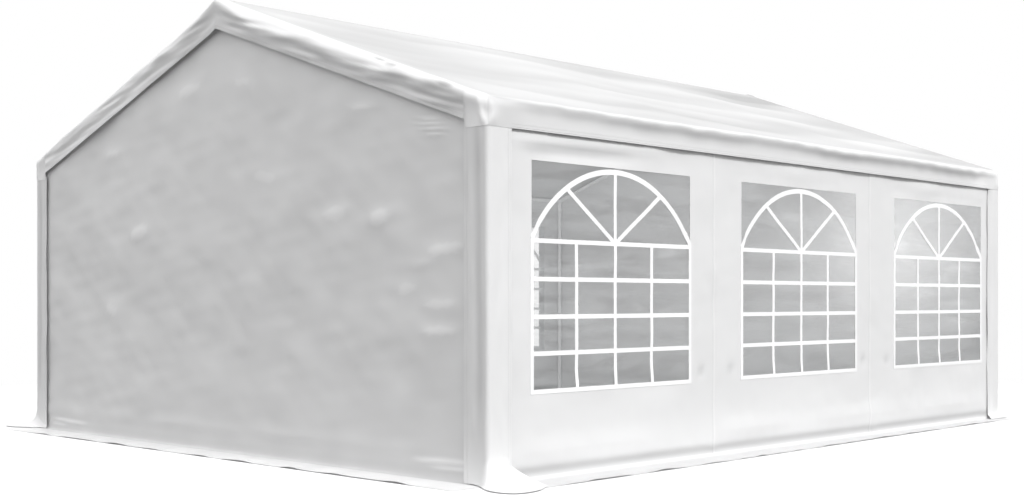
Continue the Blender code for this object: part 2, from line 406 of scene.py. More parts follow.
# %% [markdown]
# A sun lights the long side and the roof, and a second, softer one comes from above and lights
# the rolls of the cloth, which a painted highlight in the cloth's tone makes the brightest lines.
# The gable gets mostly the light of the sky and the floor, so it is the grey side. Two lamps in
# the room take the place of the daylight that real cloth lets in.

# %% Add the suns and the lamps in the room
# Each sun's name, strength, spread in degrees and direction.
SUNS = (("sun", 2.0, 12, (0.0, 0.8, -0.6)), ("top_sun", 0.6, 50, (0.3, -0.45, -0.84)))
# Each lamp's power, size, place and direction.
ROOM_LAMPS = (
    (42, 1.6, (-0.4, 0.1, 1.1), (1, 0.85, 0.75)),
    (9.0, 0.4, (1.9, -1.55, 1.5), (1, 0, 0)),
)


def add_light(name, kind, energy, direction):
    light = bpy.data.lights.new(name, kind)
    light.energy = energy
    item = bpy.data.objects.new(name, light)
    item.rotation_euler = Vector(direction).to_track_quat("-Z", "Y").to_euler()
    bpy.context.scene.collection.objects.link(item)
    return item


for name, strength, spread, direction in SUNS:
    sun = add_light(name, "SUN", strength, direction)
    sun.data.angle = math.radians(spread)
for number, (power, size, lamp_place, direction) in enumerate(ROOM_LAMPS, 1):
    lamp = add_light(f"room_lamp_{number}", "AREA", power, direction)
    lamp.data.size = size
    lamp.location = lamp_place
    lamp.visible_camera = False
    lamp.visible_glossy = False
print("lights:", len(SUNS), "suns and", len(ROOM_LAMPS), "room lamps")

# %% [markdown]
# The floor is pale and wide, and fades to white far from the tent, so that it meets the
# white sky without a line. Light that bounces off it is weaker than the floor looks, as a
# studio does with dark cloths out of view. This keeps the undersides of the folds grey.


# %% Lay the floor
def new_material(name):
    """A material with its tree and its Principled shader."""
    material = bpy.data.materials.new(name)
    material.use_nodes = True
    return material, material.node_tree, material.node_tree.nodes["Principled BSDF"]


def show(tree, node):
    """Makes the node's shader the one that the surface has."""
    set_inputs(tree, tree.nodes["Material Output"], {"Surface": node.outputs[0]})


FLOOR_RADIUS = 60
FLOOR_FADE = (4.2, 8.0)
FLOOR_BOUNCE = 0.15
FLOOR_FINISH = {
    "Base Color": (0.92, 0.92, 0.925, 1),
    "Roughness": 0.9,
    "Emission Color": grey(1),
    "Emission Strength": 0.1,
}
deselect()
bpy.ops.mesh.primitive_circle_add(vertices=96, radius=FLOOR_RADIUS, fill_type="NGON")
floor = bpy.context.object
floor.name = "floor"
pale_floor, tree, shader = new_material("pale_floor")
set_inputs(tree, shader, FLOOR_FINISH)
floor_place = add_node(tree, "TexCoord").outputs["Object"]
away = add_node(tree, "VectorMath", {0: floor_place}, operation="LENGTH").outputs["Value"]
fade = map_range(tree, away, FLOOR_FADE, (0.0, 1.0), interpolation_type="SMOOTHSTEP")
seen = mix_shaders(tree, fade, shader, add_node(tree, "Emission"))
dull = add_node(tree, "BsdfDiffuse", {"Color": grey(FLOOR_BOUNCE)})
to_camera = add_node(tree, "LightPath").outputs["Is Camera Ray"]
show(tree, mix_shaders(tree, to_camera, dull, seen))
floor.data.materials.append(pale_floor)
print("floor laid, fading to white from", FLOOR_FADE[0], "m")

# %% [markdown]
# The cloth is woven from flat plastic tapes, 2.5 mm wide, and coated on both sides. Three
# effects make it: the weave, the fine crumple that every folded sheet keeps, and two rows
# of stitches along each hem. Every cloth uses them, so each is a node group.

# %% Helper for node groups
FLOAT = "NodeSocketFloat"


def new_group(name, vectors, numbers, outputs):
    """A node group. Its inputs are vectors, then numbers with defaults; it puts out numbers."""
    group = bpy.data.node_groups.new(name, "ShaderNodeTree")
    for label in vectors:
        group.interface.new_socket(name=label, in_out="INPUT", socket_type="NodeSocketVector")
    for label, default in numbers.items():
        socket = group.interface.new_socket(name=label, in_out="INPUT", socket_type=FLOAT)
        socket.default_value = default
    for label in outputs:
        group.interface.new_socket(name=label, in_out="OUTPUT", socket_type=FLOAT)
    return group, group.nodes.new("NodeGroupInput").outputs, group.nodes.new("NodeGroupOutput")


# %% The weave group
TAPE = 0.0025
weave, given, result = new_group("tape_weave", [], {"Across": 0.0, "Along": 0.0, "Tape": TAPE}, ["Height"])
bulges = []
steps = []
for side in ("Across", "Along"):
    turn = math_node(weave, "DIVIDE", given[side], given["Tape"])
    wave = math_node(weave, "SINE", math_node(weave, "MULTIPLY", turn, math.pi))
    bulges.append(math_node(weave, "ABSOLUTE", wave))
    steps.append(math_node(weave, "FLOOR", turn))
over = math_node(weave, "PINGPONG", math_node(weave, "ADD", *steps), 1.0)
under = math_node(weave, "SUBTRACT", 1.0, over)
lengthwise = math_node(weave, "MULTIPLY", bulges[0], over)
crosswise = math_node(weave, "MULTIPLY", bulges[1], under)
set_inputs(weave, result, {"Height": math_node(weave, "ADD", lengthwise, crosswise)})

# %% The crumple group
CRUMPLE = {"Detail": 3.0, "Roughness": 0.55, "Distortion": 0.6}
CLOUDS = {"Scale": 1.3, "Detail": 3.0}
crumple, given, result = new_group("sheet_crumple", ["Place"], {"Scale": 9.0}, ["Height", "Tint"])
fine = add_node(crumple, "TexNoise", {"Vector": given["Place"], "Scale": given["Scale"], **CRUMPLE})
broad = add_node(crumple, "TexNoise", {"Vector": given["Place"], **CLOUDS})
set_inputs(crumple, result, {"Height": fine.outputs["Fac"], "Tint": broad.outputs["Fac"]})

# %% The stitch group
STITCH_ROWS = (0.008, 0.024)
THREAD = 0.0009
STITCHES_PER_METRE = 220.0
STITCH_SHARE = 0.7
HEM_WIDTH = 0.028
flat_places = {"Edge": 1.0, "Across": 0.0, "Along": 0.0}
stitch, given, result = new_group("hem_stitches", [], flat_places, ["Mask", "Hem"])
threads = [math_node(stitch, "COMPARE", given["Edge"], row, THREAD) for row in STITCH_ROWS]
along_hem = math_node(stitch, "ADD", given["Across"], given["Along"])
share = math_node(stitch, "FRACT", math_node(stitch, "MULTIPLY", along_hem, STITCHES_PER_METRE))
dash = math_node(stitch, "LESS_THAN", share, STITCH_SHARE)
thread = math_node(stitch, "MULTIPLY", math_node(stitch, "MAXIMUM", *threads), dash)
hem = math_node(stitch, "LESS_THAN", given["Edge"], HEM_WIDTH)
set_inputs(stitch, result, {"Mask": thread, "Hem": hem})
print("groups made:", weave.name, crumple.name, stitch.name)

# %% [markdown]
# Each cloth material is a Principled shader with the weave, the hem and the crumple as bump,
# mixed with a Translucent one, because daylight comes through a plastic sheet. A sheet carries
# a tone, a number at each point that is mostly painted light and shade: a painted highlight
# where it is stretched over a roll, painted shade in most hollows, and on the gables a little random
# mottling.

# %% Make the cloth materials
TINT_IN = (0.3, 0.7)
TINT_OUT = (0.965, 1.0)
THREAD_SHADE = 0.12
HEM_DEPTH = 0.0006
TAPE_DEPTH = 0.00008
CLOTH_FINISH = {"Roughness": 0.45, "Specular IOR Level": 0.45, "Sheen Weight": 0.05}


def bump(tree, height, depth, under=None):
    """The normal of a surface with a bump, laid over another one if that is given."""
    node = add_node(tree, "Bump", {"Height": height, "Distance": depth})
    if under is not None:
        set_inputs(tree, node, {"Normal": under})
    return node.outputs["Normal"]


def cloth_material(name, colour, daylight, crumple_depth):
    """Daylight is the share of the light that comes through."""
    material, tree, shader = new_material(name)
    texture = add_node(tree, "TexCoord").outputs
    split = add_node(tree, "SeparateXYZ", {"Vector": texture["UV"]}).outputs
    flat = {"Across": split["X"], "Along": split["Y"]}
    edge = add_node(tree, "Attribute", attribute_name="edge").outputs["Fac"]
    tone = add_node(tree, "Attribute", attribute_name="tone").outputs["Fac"]
    woven = add_node(tree, "Group", flat, node_tree=weave).outputs
    folded = add_node(tree, "Group", {"Place": texture["Object"]}, node_tree=crumple).outputs
    sewn = add_node(tree, "Group", {"Edge": edge, **flat}, node_tree=stitch).outputs

    shade = math_node(tree, "SUBTRACT", 1.0, math_node(tree, "MULTIPLY", sewn["Mask"], THREAD_SHADE))
    shade = math_node(tree, "MULTIPLY", shade, map_range(tree, folded["Tint"], TINT_IN, TINT_OUT))
    # The tone scales the colour: painted light and shade, with a little random mottling.
    shade = math_node(tree, "MULTIPLY", shade, math_node(tree, "ADD", tone, 1.0))
    paint = {"Factor": 1.0, 6: (*colour, 1), 7: shade}
    tinted = add_node(tree, "Mix", paint, data_type="RGBA", blend_type="MULTIPLY").outputs[2]
    surface = bump(tree, folded["Height"], crumple_depth)
    surface = bump(tree, math_node(tree, "ADD", sewn["Hem"], sewn["Mask"]), HEM_DEPTH, surface)
    surface = bump(tree, woven["Height"], TAPE_DEPTH, surface)
    set_inputs(tree, shader, {"Base Color": tinted, "Normal": surface, **CLOTH_FINISH})
    glow = add_node(tree, "BsdfTranslucent", {"Color": tinted, "Normal": surface})
    show(tree, mix_shaders(tree, daylight, shader, glow))
    return material


# The roof's cloth is the walls' white sheet painted darker, as painted shade against the roof's stronger
# light.
roof_cloth_painted_darker = cloth_material("white_roof_cloth", (0.68, 0.68, 0.682), 0.2, 0.0006)
wall_cloth = cloth_material("white_wall_cloth", (0.84, 0.84, 0.843), 0.14, 0.0005)
print("cloths:", roof_cloth_painted_darker.name, wall_cloth.name)

# %% [markdown]
# The roof cover is one sheet. It lies on the ridge and the rafters, sags a little between
# them, folds down over the eaves and the gables, and is sewn up at its four corners. The
# flat grid has a square cut from each corner. Folding its four sides down brings the cut
# edges together, and merging the points there sews them.

# %% Columns and rows of the cover
VALANCE_STEPS = 8
FINE = 0.02
COARSE = 0.042
SIDE_PACE = 0.03
STEP_PACE = 0.006
STEP_ZONE = 0.015
ROUND_ZONE = 0.1
STRIP_LINE = SIDE_Y - STRIP


def roof_z(y):
    return RIDGE_Z - SLOPE * np.abs(y)


def mirrored(half):
    """Places from zero on, and the same ones below zero."""
    return [-place for place in reversed(half[1:])] + half


long_drop = roof_z(SIDE_Y) - VALANCE_Z
drops = [drop * long_drop for drop in np.linspace(0, 1, VALANCE_STEPS + 1)[1:]]
half_columns = chained(spaced(0, END_X - ROUND_ZONE, COARSE), spaced(END_X - ROUND_ZONE, END_X, FINE))
half_rows = chained(
    spaced(0, STRIP_LINE - STEP_ZONE, COARSE),
    spaced(STRIP_LINE - STEP_ZONE, STRIP_LINE + STEP_ZONE, STEP_PACE),
    spaced(STRIP_LINE + STEP_ZONE, SIDE_Y - ROUND_ZONE, SIDE_PACE),
    spaced(SIDE_Y - ROUND_ZONE, SIDE_Y, FINE),
)
columns = mirrored(half_columns + [END_X + drop for drop in drops])
rows = mirrored(half_rows + [SIDE_Y + drop for drop in drops])
print("cover grid:", len(columns), "columns,", len(rows), "rows")

# %% Cut and fold the roof cover
UNWANTED_Z = -1
HEM_STEP = 0.003
SEWN = 0.0005
NEAR_FOLD = 0.09


def gable_valance_z(y):
    """Height of the gable valance's hem, which steps down to the long hem at a corner strip."""
    share = np.clip(np.abs(y) / STRIP_LINE, 0, 1)
    hem = GABLE_APEX_Z + (GABLE_FOOT_Z - GABLE_APEX_Z) * share
    return hem + (VALANCE_Z - hem) * smooth_step(np.abs(y), STRIP_LINE - HEM_STEP, STRIP_LINE + HEM_STEP)


roof, across, along = cloth_grid("roof_cover_sheet", columns, rows)
past_end = np.clip((np.abs(across) - END_X) / long_drop, 0, 1)
past_side = np.clip((np.abs(along) - SIDE_Y) / long_drop, 0, 1)
x = np.clip(across, -END_X, END_X)
y = np.clip(along, -SIDE_Y, SIDE_Y)
notch = (past_end > NEARLY) & (past_side > NEARLY)
z = roof_z(y) - past_end * (roof_z(y) - gable_valance_z(y)) - past_side * long_drop
set_points(roof, x, y, np.where(notch, UNWANTED_Z, z))
delete_faces(roof, lambda middle: middle.z < VALANCE_Z - 0.1)
merge_points(roof, SEWN)
subdivide_where(roof, lambda middle: abs(middle.x) > END_X - NEAR_FOLD or abs(middle.y) > SIDE_Y - NEAR_FOLD)
print("roof cover:", len(roof.data.polygons), "faces")

# %% [markdown]
# First each point gets its measures: how far it is from the end and the side of the cover,
# how far below the slope, and on which face it lies. The shapes that follow all use them.

# %% Measure where each point lies
places = points_of(roof)
way_x = np.sign(places[:, 0])
way_y = np.sign(places[:, 1])
on_end = (np.abs(places[:, 0]) > END_X - NEARLY).astype(float)
on_side = (np.abs(places[:, 1]) > SIDE_Y - NEARLY).astype(float)
on_slope = (1 - on_end) * (1 - on_side)
below = np.clip(roof_z(places[:, 1]) - places[:, 2], 0, None)
depth = np.where(on_end > 0.5, roof_z(places[:, 1]) - gable_valance_z(places[:, 1]), long_drop)
down = np.clip(below / depth, 0, 1)
before_end = END_X - np.abs(places[:, 0])
before_side = SIDE_Y - np.abs(places[:, 1])
sewn_to_strip = ((on_end > 0) & (before_side < STRIP)) | ((on_side > 0) & (before_end < STRIP))
store(roof, "edge", np.where((on_slope > 0.5) | sewn_to_strip, 1.0, depth - below))
print("points:", len(places), "of which on the slopes", int(on_slope.sum()))

# %% [markdown]
# The folds are made round. Each point near an edge is pushed onto a quarter of an ellipse,
# and near a corner onto an eighth of an egg. The gable's fold is the widest, because the
# cloth wraps a rafter there with slack.

# %% Round the folds
END_ROUND = 0.062
SIDE_ROUND = 0.034
TOP_ROUND = 0.048
FRONT_CORNER = 0.024
BACK_CORNER = 0.05
STRIP_INSET = 0.002
NARROWS = (0.08, 0.155)
CORNER_SPREAD = 0.05
CORNER_REACH = 0.12
narrow = smooth_step(below, *NARROWS)
corner_round = np.where(way_y > 0, BACK_CORNER, FRONT_CORNER) + STRIP_INSET
spread = CORNER_SPREAD * bell(before_end, 0, CORNER_REACH) * (1 - narrow)
radii = np.stack([
    END_ROUND + (corner_round - END_ROUND) * narrow,
    SIDE_ROUND + spread + (corner_round - SIDE_ROUND) * narrow,
    np.full(len(places), TOP_ROUND),
], axis=1)
in_radii = np.stack([before_end, before_side, below], axis=1) / radii
centre = np.maximum(in_radii, 1)
offset = in_radii - centre
length = np.linalg.norm(offset, axis=1)[:, None]
turned = np.where(length > 0, centre + offset / np.maximum(length, 1e-9), in_radii) * radii
places[:, 0] = way_x * (END_X - turned[:, 0])
places[:, 1] = way_y * (SIDE_Y - turned[:, 1])
places[:, 2] = roof_z(places[:, 1]) - turned[:, 2]
print("rounded", int((length > 0).sum()), "points")

# %% [markdown]
# Between the rafters the sheet sags. The ridge is only a little rounded, because the ridge
# tubes and their joints lie close under it, and cloth has to stay outside the steel.

# %% Sag between the rafters
SAG = 0.02
RIDGE_WIDTH = 0.02
RIDGE_SOFT = 0.5
phase = np.clip((places[:, 0] - RAFTERS[0]) / (RAFTERS[-1] - RAFTERS[0]), 0, 1) * BAYS
phase = phase - np.floor(np.clip(phase, 0, BAYS - 0.0001))
rise = np.clip(np.abs(places[:, 1]) / SIDE_Y, 0, 1)
held = 4 * phase * (1 - phase) * (4 * rise * (1 - rise)) ** 0.8
places[:, 2] -= SAG * held * on_slope
ridge_turn = bell(places[:, 1], 0, RIDGE_WIDTH) * on_slope
places = relaxed(places, edges_of(roof), RIDGE_SOFT * ridge_turn, 1)
set_points(roof, places)
print("ridge at", round(float(places[:, 2].max()), 3), "m")

# %% [markdown]
# Now the slack. Across each fold the cloth puffs into a roll, then draws in to a hollow, and
# its hem stands out again. All three come and go along the edge in soft waves. At the corner
# strips the hem lies flat, because the strips are sewn on there.

# %% Sizes and profile of the rolls
# Places along a fold, how far its roll puffs out there, and how far past the fold it turns
# under. The gable's run from the front eave to the back one, the eave's from left to right.
END_ROLLS = np.array((
    (-2.6, 0.010, 0.02), (-2.31, 0.018, 0.03), (-2.07, 0.028, 0.052), (-1.82, 0.032, 0.066),
    (-1.55, 0.034, 0.09), (-1.28, 0.034, 0.086), (-0.99, 0.034, 0.078), (-0.68, 0.036, 0.1),
    (-0.36, 0.036, 0.1), (0.02, 0.022, 0.04), (0.33, 0.026, 0.09), (0.7, 0.022, 0.088),
    (1.1, 0.016, 0.06), (1.52, 0.018, 0.07), (1.96, 0.016, 0.04), (2.3, 0.010, 0.03), (2.6, 0.003, 0.02),
)).T
SIDE_ROLLS = np.array((
    (-3.1, 0.004, -0.02), (-2.78, 0.006, -0.015), (-2.46, 0.013, 0.0), (-2.12, 0.016, 0.006),
    (-1.75, 0.02, 0.018), (-1.36, 0.019, 0.015), (-0.95, 0.02, 0.02), (-0.5, 0.016, 0.008),
    (-0.02, 0.018, 0.015), (0.49, 0.022, 0.034), (1.05, 0.02, 0.024), (1.66, 0.019, 0.02),
    (2.32, 0.02, 0.032), (2.8, 0.012, 0.022), (3.1, 0.006, 0.01),
)).T
# A roll's width before and after its turn. Hollow and hem: size, place and width.
END_WIDTH = (0.055, 0.06)
END_HOLLOW = (0.002, 0.06, 0.03)
END_HEM = (0.008, 0.15, 0.035)
SIDE_WIDTH = (0.03, 0.03)
SIDE_HOLLOW = (0.007, 0.066, 0.042)
SIDE_HEM = (0.005, 0.135, 0.03)


def slack_fold(past, puff, reach, width, hollow, hem):
    """How far the roll stands out, and the draw below it, at a distance past a fold. The roll
    turns under at its reach."""
    roll = puff * bell(past, reach, np.where(past > reach, width[1], width[0]))
    dip = hollow[0] * np.exp(-(((past - reach - hollow[1]) / hollow[2]) ** 2))
    flare = hem[0] * smooth_step(past, hem[1] - hem[2], hem[1] + hem[2])
    return roll, flare - dip


# %% Puff out the rolls
PUFF_SWING = 0.1
END_SWING = 0.007
SIDE_SWING = 0.004
SHARED = 0.04
CORNER_FADE = (-0.01, 0.11)
end_past = below - before_end
side_past = below - before_side
end_line = places[:, 1] * np.where(way_x < 0, 1, -1)
side_line = places[:, 0] * np.where(way_y < 0, 1, -1)
end_amount = through(END_ROLLS[0], END_ROLLS[1], end_line)
end_amount *= 1 + PUFF_SWING * soft_waves(places[:, 1:2], 31, 0.2, 0.5)
end_amount *= smooth_step(before_side, *CORNER_FADE)
end_reach = through(END_ROLLS[0], END_ROLLS[2], end_line)
end_reach += END_SWING * soft_waves(end_line[:, None], 34, 0.3, 0.6)
side_amount = through(SIDE_ROLLS[0], SIDE_ROLLS[1], side_line)
side_amount *= 1 + PUFF_SWING * soft_waves(side_line[:, None], 21, 0.2, 0.6)
side_reach = through(SIDE_ROLLS[0], SIDE_ROLLS[2], side_line)
side_reach += SIDE_SWING * soft_waves(side_line[:, None], 24, 0.2, 0.5)
end_puff, end_draw = slack_fold(end_past, end_amount, end_reach, END_WIDTH, END_HOLLOW, END_HEM)
side_puff, side_draw = slack_fold(side_past, side_amount, side_reach, SIDE_WIDTH, SIDE_HOLLOW, SIDE_HEM)
end_share = np.clip(on_slope + on_end + on_side * bell(before_end, 0, SHARED), 0, 1)
side_share = np.clip(on_slope + on_side + on_end * bell(before_side, 0, SHARED), 0, 1)
puff = np.maximum(end_puff * end_share, side_puff * side_share)
print("slack gives up to", round(float(puff.max()), 3), "m")

# %% [markdown]
# The slopes are not flat either. Long streaks run beside the ridge, between broad low waves.
# Both fade out at the ridge and over the rafters, again to keep the cloth outside the steel.

# %% Wave the slopes
ROUGH = 0.003
STREAK = 0.0075
STREAK_STRETCH = (0.16, 0.1)
RAFTER_ROOM = 0.003
SPAN_ROOM = 0.03
EDGE_FADE = (0.02, 0.2)
RIDGE_FADE = (0, 0.25)
from_ridge = np.abs(places[:, 1])
stretched = places[:, 0] * STREAK_STRETCH[0] + from_ridge * STREAK_STRETCH[1]
streaks = soft_waves(np.stack([stretched, places[:, 1]], axis=1), 12, 0.3, 0.9)
rough = soft_waves(places[:, :2], 11, 0.45, 1.5) * ROUGH
slope_free = smooth_step(before_side, *EDGE_FADE) * smooth_step(before_end, *EDGE_FADE)
slope_move = rough + streaks * STREAK * np.clip(held * 2.2, 0.25, 1)
slope_move = slope_move * smooth_step(from_ridge, *RIDGE_FADE) * on_slope * slope_free
slope_move = np.maximum(slope_move, -RAFTER_ROOM - SPAN_ROOM * held)
print("slopes move by up to", round(float(np.abs(slope_move).max()), 4), "m")

# %% [markdown]
# The valances carry the fine work: slanting wrinkles on the gable, gathers under the eave, a
# hem that swings a little, and three small dents in the gable's roll.

# %% Wrinkle the valances
# Dents in the gable's roll: place along it, and how far past the fold.
DENTS = ((-1.62, 0.01), (-1.74, 0.025), (-2.2, 0.03))
DENT_HALF = (0.06, 0.006)
DENT_WIDTH = 0.015
DENT_DEPTH = 0.012
WRINKLE = 0.0045
WRINKLE_STRETCH = 0.14
WRINKLE_SLANT = 0.12
GATHER = 0.001
HEM_SWING = 0.001
on_fold = np.stack([end_line, end_past], axis=1)
dents = np.zeros(len(places))
for spot, past in DENTS:
    start = (spot - DENT_HALF[0], past - DENT_HALF[1])
    end = (spot + DENT_HALF[0], past + DENT_HALF[1])
    dents += crease(on_fold, start, end, DENT_WIDTH, -DENT_DEPTH)

past_strip_end = smooth_step(before_end, STRIP - 0.01, STRIP + 0.16)
past_strip_side = smooth_step(before_side, STRIP - 0.003, STRIP + 0.015)
# The four half gables lie far apart on this line, so that no two get the same wrinkles.
along_end = from_ridge + 7 * (way_y > 0) + 11 * (way_x > 0)
creased = np.stack([along_end * WRINKLE_STRETCH, below + WRINKLE_SLANT * from_ridge], axis=1)
wrinkles = WRINKLE * soft_waves(creased, 33, 0.035, 0.1) * smooth_step(below, 0.03, 0.07)
wrinkles *= (1 - smooth_step(down, 0.75, 1)) * smooth_step(from_ridge, 0.02, 0.2)
gathers = GATHER * soft_waves(np.stack([places[:, 0], below * 0.3], axis=1), 23, 0.06, 0.2)
gathers *= np.exp(-down * 2.5)
end_swing = HEM_SWING * down * soft_waves(places[:, 1:2], 32, 0.4, 1.2)
side_swing = HEM_SWING * down * soft_waves(places[:, :1], 22, 0.4, 1.2)
end_move = (end_draw + end_swing + wrinkles) * on_end * past_strip_side
side_move = (side_draw + side_swing + gathers) * on_side * past_strip_end
print("wrinkles up to", round(float(np.abs(wrinkles * on_end).max()), 4), "m")

# %% [markdown]
# At each corner the cloth is pulled over the joint and bunches up: a short upright ridge on
# the gable side, a furrow beside it, and a small pillow on the long side.

# %% Bunch up the corners
# On the gable's face, as distances from the corner and below the fold: start, end, width, height.
BUNCHES = (((0.07, -0.06), (0.048, 0.16), 0.015, 0.012), ((0.1, 0.05), (0.11, 0.2), 0.025, -0.004))
PILLOW = 0.008
PILLOW_PLACE = (0.04, 0.09)
PILLOW_WIDTH = 0.05
bunch = creases(np.stack([before_side, below], axis=1), BUNCHES) * on_end
pillow = bell(before_end, PILLOW_PLACE[0], PILLOW_WIDTH) * bell(below, PILLOW_PLACE[1], PILLOW_WIDTH)
bunch += PILLOW * pillow * on_side
bunch *= (1 - smooth_step(down, 0.9, 1.0)) * smooth_step(below, 0.0, 0.03)
print("corners bunch up by", round(float(bunch.max()), 3), "m")

# %% [markdown]
# The tone paints light and shade that follow the shape: a painted highlight makes a roll the
# whitest, painted shade darkens the slope under the ridge and towards the right, and painted
# light makes the valances paler than the slopes, above all near the strips.

# %% Find the rolls and hollows
on_roll = smooth_step(end_past, -0.05, -0.01)
on_roll *= 1 - smooth_step(end_past, end_reach - 0.022, end_reach + 0.012)
on_roll *= end_share * smooth_step(before_side, -0.03, 0.03)
on_side_roll = smooth_step(side_past, -0.04, -0.012)
on_side_roll *= 1 - smooth_step(side_past, side_reach - 0.012, side_reach + 0.018)
on_side_roll *= side_share
in_hollow = bell(end_past - end_reach, 0.05, 0.03) * on_end * past_strip_side
in_side_hollow = bell(side_past - side_reach, 0.06, 0.04) * on_side * past_strip_end
under_ridge = bell(from_ridge, 0.25, 0.25) * smooth_step(side_line, -0.8, 1.2)
beside_strip = 1 - smooth_step(before_side, 0.15, 0.19)
print("on the gable rolls:", int((on_roll > 0.5).sum()), "points")

# %% Paint light and shade into the roof cover's tone
# How strong each painted light, painted highlight and painted shade is. The wrinkle tone is random streaks.
STREAK_PAINTED_SHADING = 0.085
RIDGE_SHADE = 0.16
RIGHT_SHADE = 0.07
RIGHT_EDGE_SHADE = 0.12
VALANCE_PAINTED_LIGHT = 0.14
GABLE_PAINTED_LIGHT = 0.1
BACK_GABLE_PAINTED_LIGHT = 0.22
RIGHT_VALANCE_PAINTED_LIGHT = 0.16
HOLLOW_PAINTED_LIGHT = 0.16
SIDE_HOLLOW_SHADE = 0.03
WRINKLE_TONE = 0.05
STRIP_PAINTED_LIGHTS = (0.26, 0.02)
STRIP_SHADE = 0.14
ROLL_PAINTED_HIGHLIGHT = 0.36
SIDE_ROLL_PAINTED_HIGHLIGHT = 0.24
BUNCH_PAINTED_HIGHLIGHT = 0.22
DENT_PAINTED_SHADE = 40
TONE_LIMITS = (-0.3, 0.5)
# Painted shading on the streaks, and painted shade under the ridge, towards the right and at the right edge.
tone = STREAK_PAINTED_SHADING * streaks * on_slope * slope_free
tone -= (RIDGE_SHADE * under_ridge + RIGHT_SHADE * smooth_step(side_line, 1.4, 2.9)) * on_slope
tone -= RIGHT_EDGE_SHADE * bell(before_end, 0, 0.07) * (way_x > 0) * on_slope
# Painted light on the valances, most near the front strip, with a band of painted shade on the gable beside
# it.
valance = VALANCE_PAINTED_LIGHT * np.maximum(on_end, on_side)
valance += on_end * (GABLE_PAINTED_LIGHT + BACK_GABLE_PAINTED_LIGHT * smooth_step(places[:, 1], 0.2, 1.2))
valance += RIGHT_VALANCE_PAINTED_LIGHT * on_side * smooth_step(side_line, 2.4, 2.75)
fine_tone = WRINKLE_TONE * soft_waves(creased, 35, 0.035, 0.12) * on_end
valance += (HOLLOW_PAINTED_LIGHT * in_hollow + fine_tone) * past_strip_side
valance += on_end * np.where(way_y < 0, *STRIP_PAINTED_LIGHTS) * beside_strip
valance -= on_end * STRIP_SHADE * bell(before_side, 0.32, 0.14)
# Painted highlights on the rolls and the bunches, and painted shade in the eave's hollow and in the dents.
tone += np.maximum(valance, np.maximum(ROLL_PAINTED_HIGHLIGHT * on_roll, SIDE_ROLL_PAINTED_HIGHLIGHT * on_side_roll))
tone -= SIDE_HOLLOW_SHADE * in_side_hollow
tone += BUNCH_PAINTED_HIGHLIGHT * np.clip(bunch / 0.01, 0, 1) + DENT_PAINTED_SHADE * dents
store(roof, "tone", np.clip(tone, *TONE_LIMITS))
print("tone from", round(float(tone.min()), 2), "to", round(float(tone.max()), 2))

# %% [markdown]
# All moves go along the normals. The corner is relaxed into a dome, and then it and the top
# of the gable are pushed out a little, because the joints of the steel fill them.

# %% Finish the roof cover
DOME = 0.07
DOME_SOFT = 0.8
DOME_ROUNDS = 10
DOME_PUSH = 0.014
APEX = (0.02, 0.05)
APEX_WIDTH = 0.06
APEX_PUSH = 0.012
move = slope_move + puff + dents + end_move + side_move + bunch
normals = normals_of(roof)
dome = np.exp(-((before_end ** 2 + before_side ** 2 + below ** 2) / DOME ** 2))
apex = bell(before_end, *APEX) * bell(places[:, 1], 0, APEX_WIDTH)
soft = relaxed(places + normals * move[:, None], edges_of(roof), DOME_SOFT * dome, DOME_ROUNDS)
set_points(roof, soft + normals * (DOME_PUSH * dome + APEX_PUSH * apex)[:, None])
finish_cloth(roof, roof_cloth_painted_darker)
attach(roof, "root")
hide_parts("roof_cover")

# %% [markdown]
# A long wall is one sheet too. It hangs from the eave, and at the ground it turns outwards
# into a skirt that is weighted down. The grid's lines run along the window openings, whose
# faces are then deleted, and they are close together at the two sewn seams.

# %% Sizes of the walls
FAR = 9.0
FILM_LAP = 0.02
WINDOW = film_high.x - film_low.x - 2 * FILM_LAP
SILL = film_low.z + FILM_LAP
HEAD = film_high.z - FILM_LAP
WALL_TOP = wall_high.z
WALL_END = wall_high.x
FLOOR_Z = SHEET + 0.0008
WALL_STEP = 0.03
WALL_BEND = 0.014
HUNG = (0.02, 0.12)
SKIRT_SPARE = 0.004
SKIRT_STEP = 0.02
SKIRT = WALL_Y - wall_low.y - SKIRT_SPARE
WINDOWS = [sum(corner.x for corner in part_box(f"front_window_{n}")) / 2 for n in (1, 2, 3)]
print("window", round(WINDOW, 3), "sill", round(SILL, 3), "head", round(HEAD, 3), "skirt", round(SKIRT, 3))


# %% Helpers for hanging cloth
def hanging(depth, top):
    """Distance outwards and height of cloth that hangs from top and turns out on the ground,
    and its run along the ground."""
    upright = top - FLOOR_Z - WALL_BEND
    turned = np.clip((depth - upright) / WALL_BEND, 0, math.pi / 2)
    run = np.clip(depth - upright - WALL_BEND * math.pi / 2, 0, None)
    out = WALL_BEND * (1 - np.cos(turned)) + run
    height = np.where(depth < upright, top - depth, FLOOR_Z + WALL_BEND * (1 - np.sin(turned)))
    return out, height, run


def foot_bulge(place, height, middle, width, seed):
    """Slack that gathers just above the ground, more in some places than in others."""
    swing = 0.8 + 0.5 * soft_waves(place * [1, 0], seed, 0.4, 1.5)
    return height * bell(place[:, 1], middle, width) * swing


def skirt_lift(along, run, height, seed, fade):
    """How far a skirt lifts off the ground, in ripples that fade out towards its ends."""
    ripple = height * (1 + soft_waves(np.stack([along, run], axis=1), seed, 0.15, 0.6))
    free = smooth_step(run, 0.0, 0.08) * (1 - smooth_step(np.abs(along), *fade))
    return np.clip(ripple, 0, None) * free


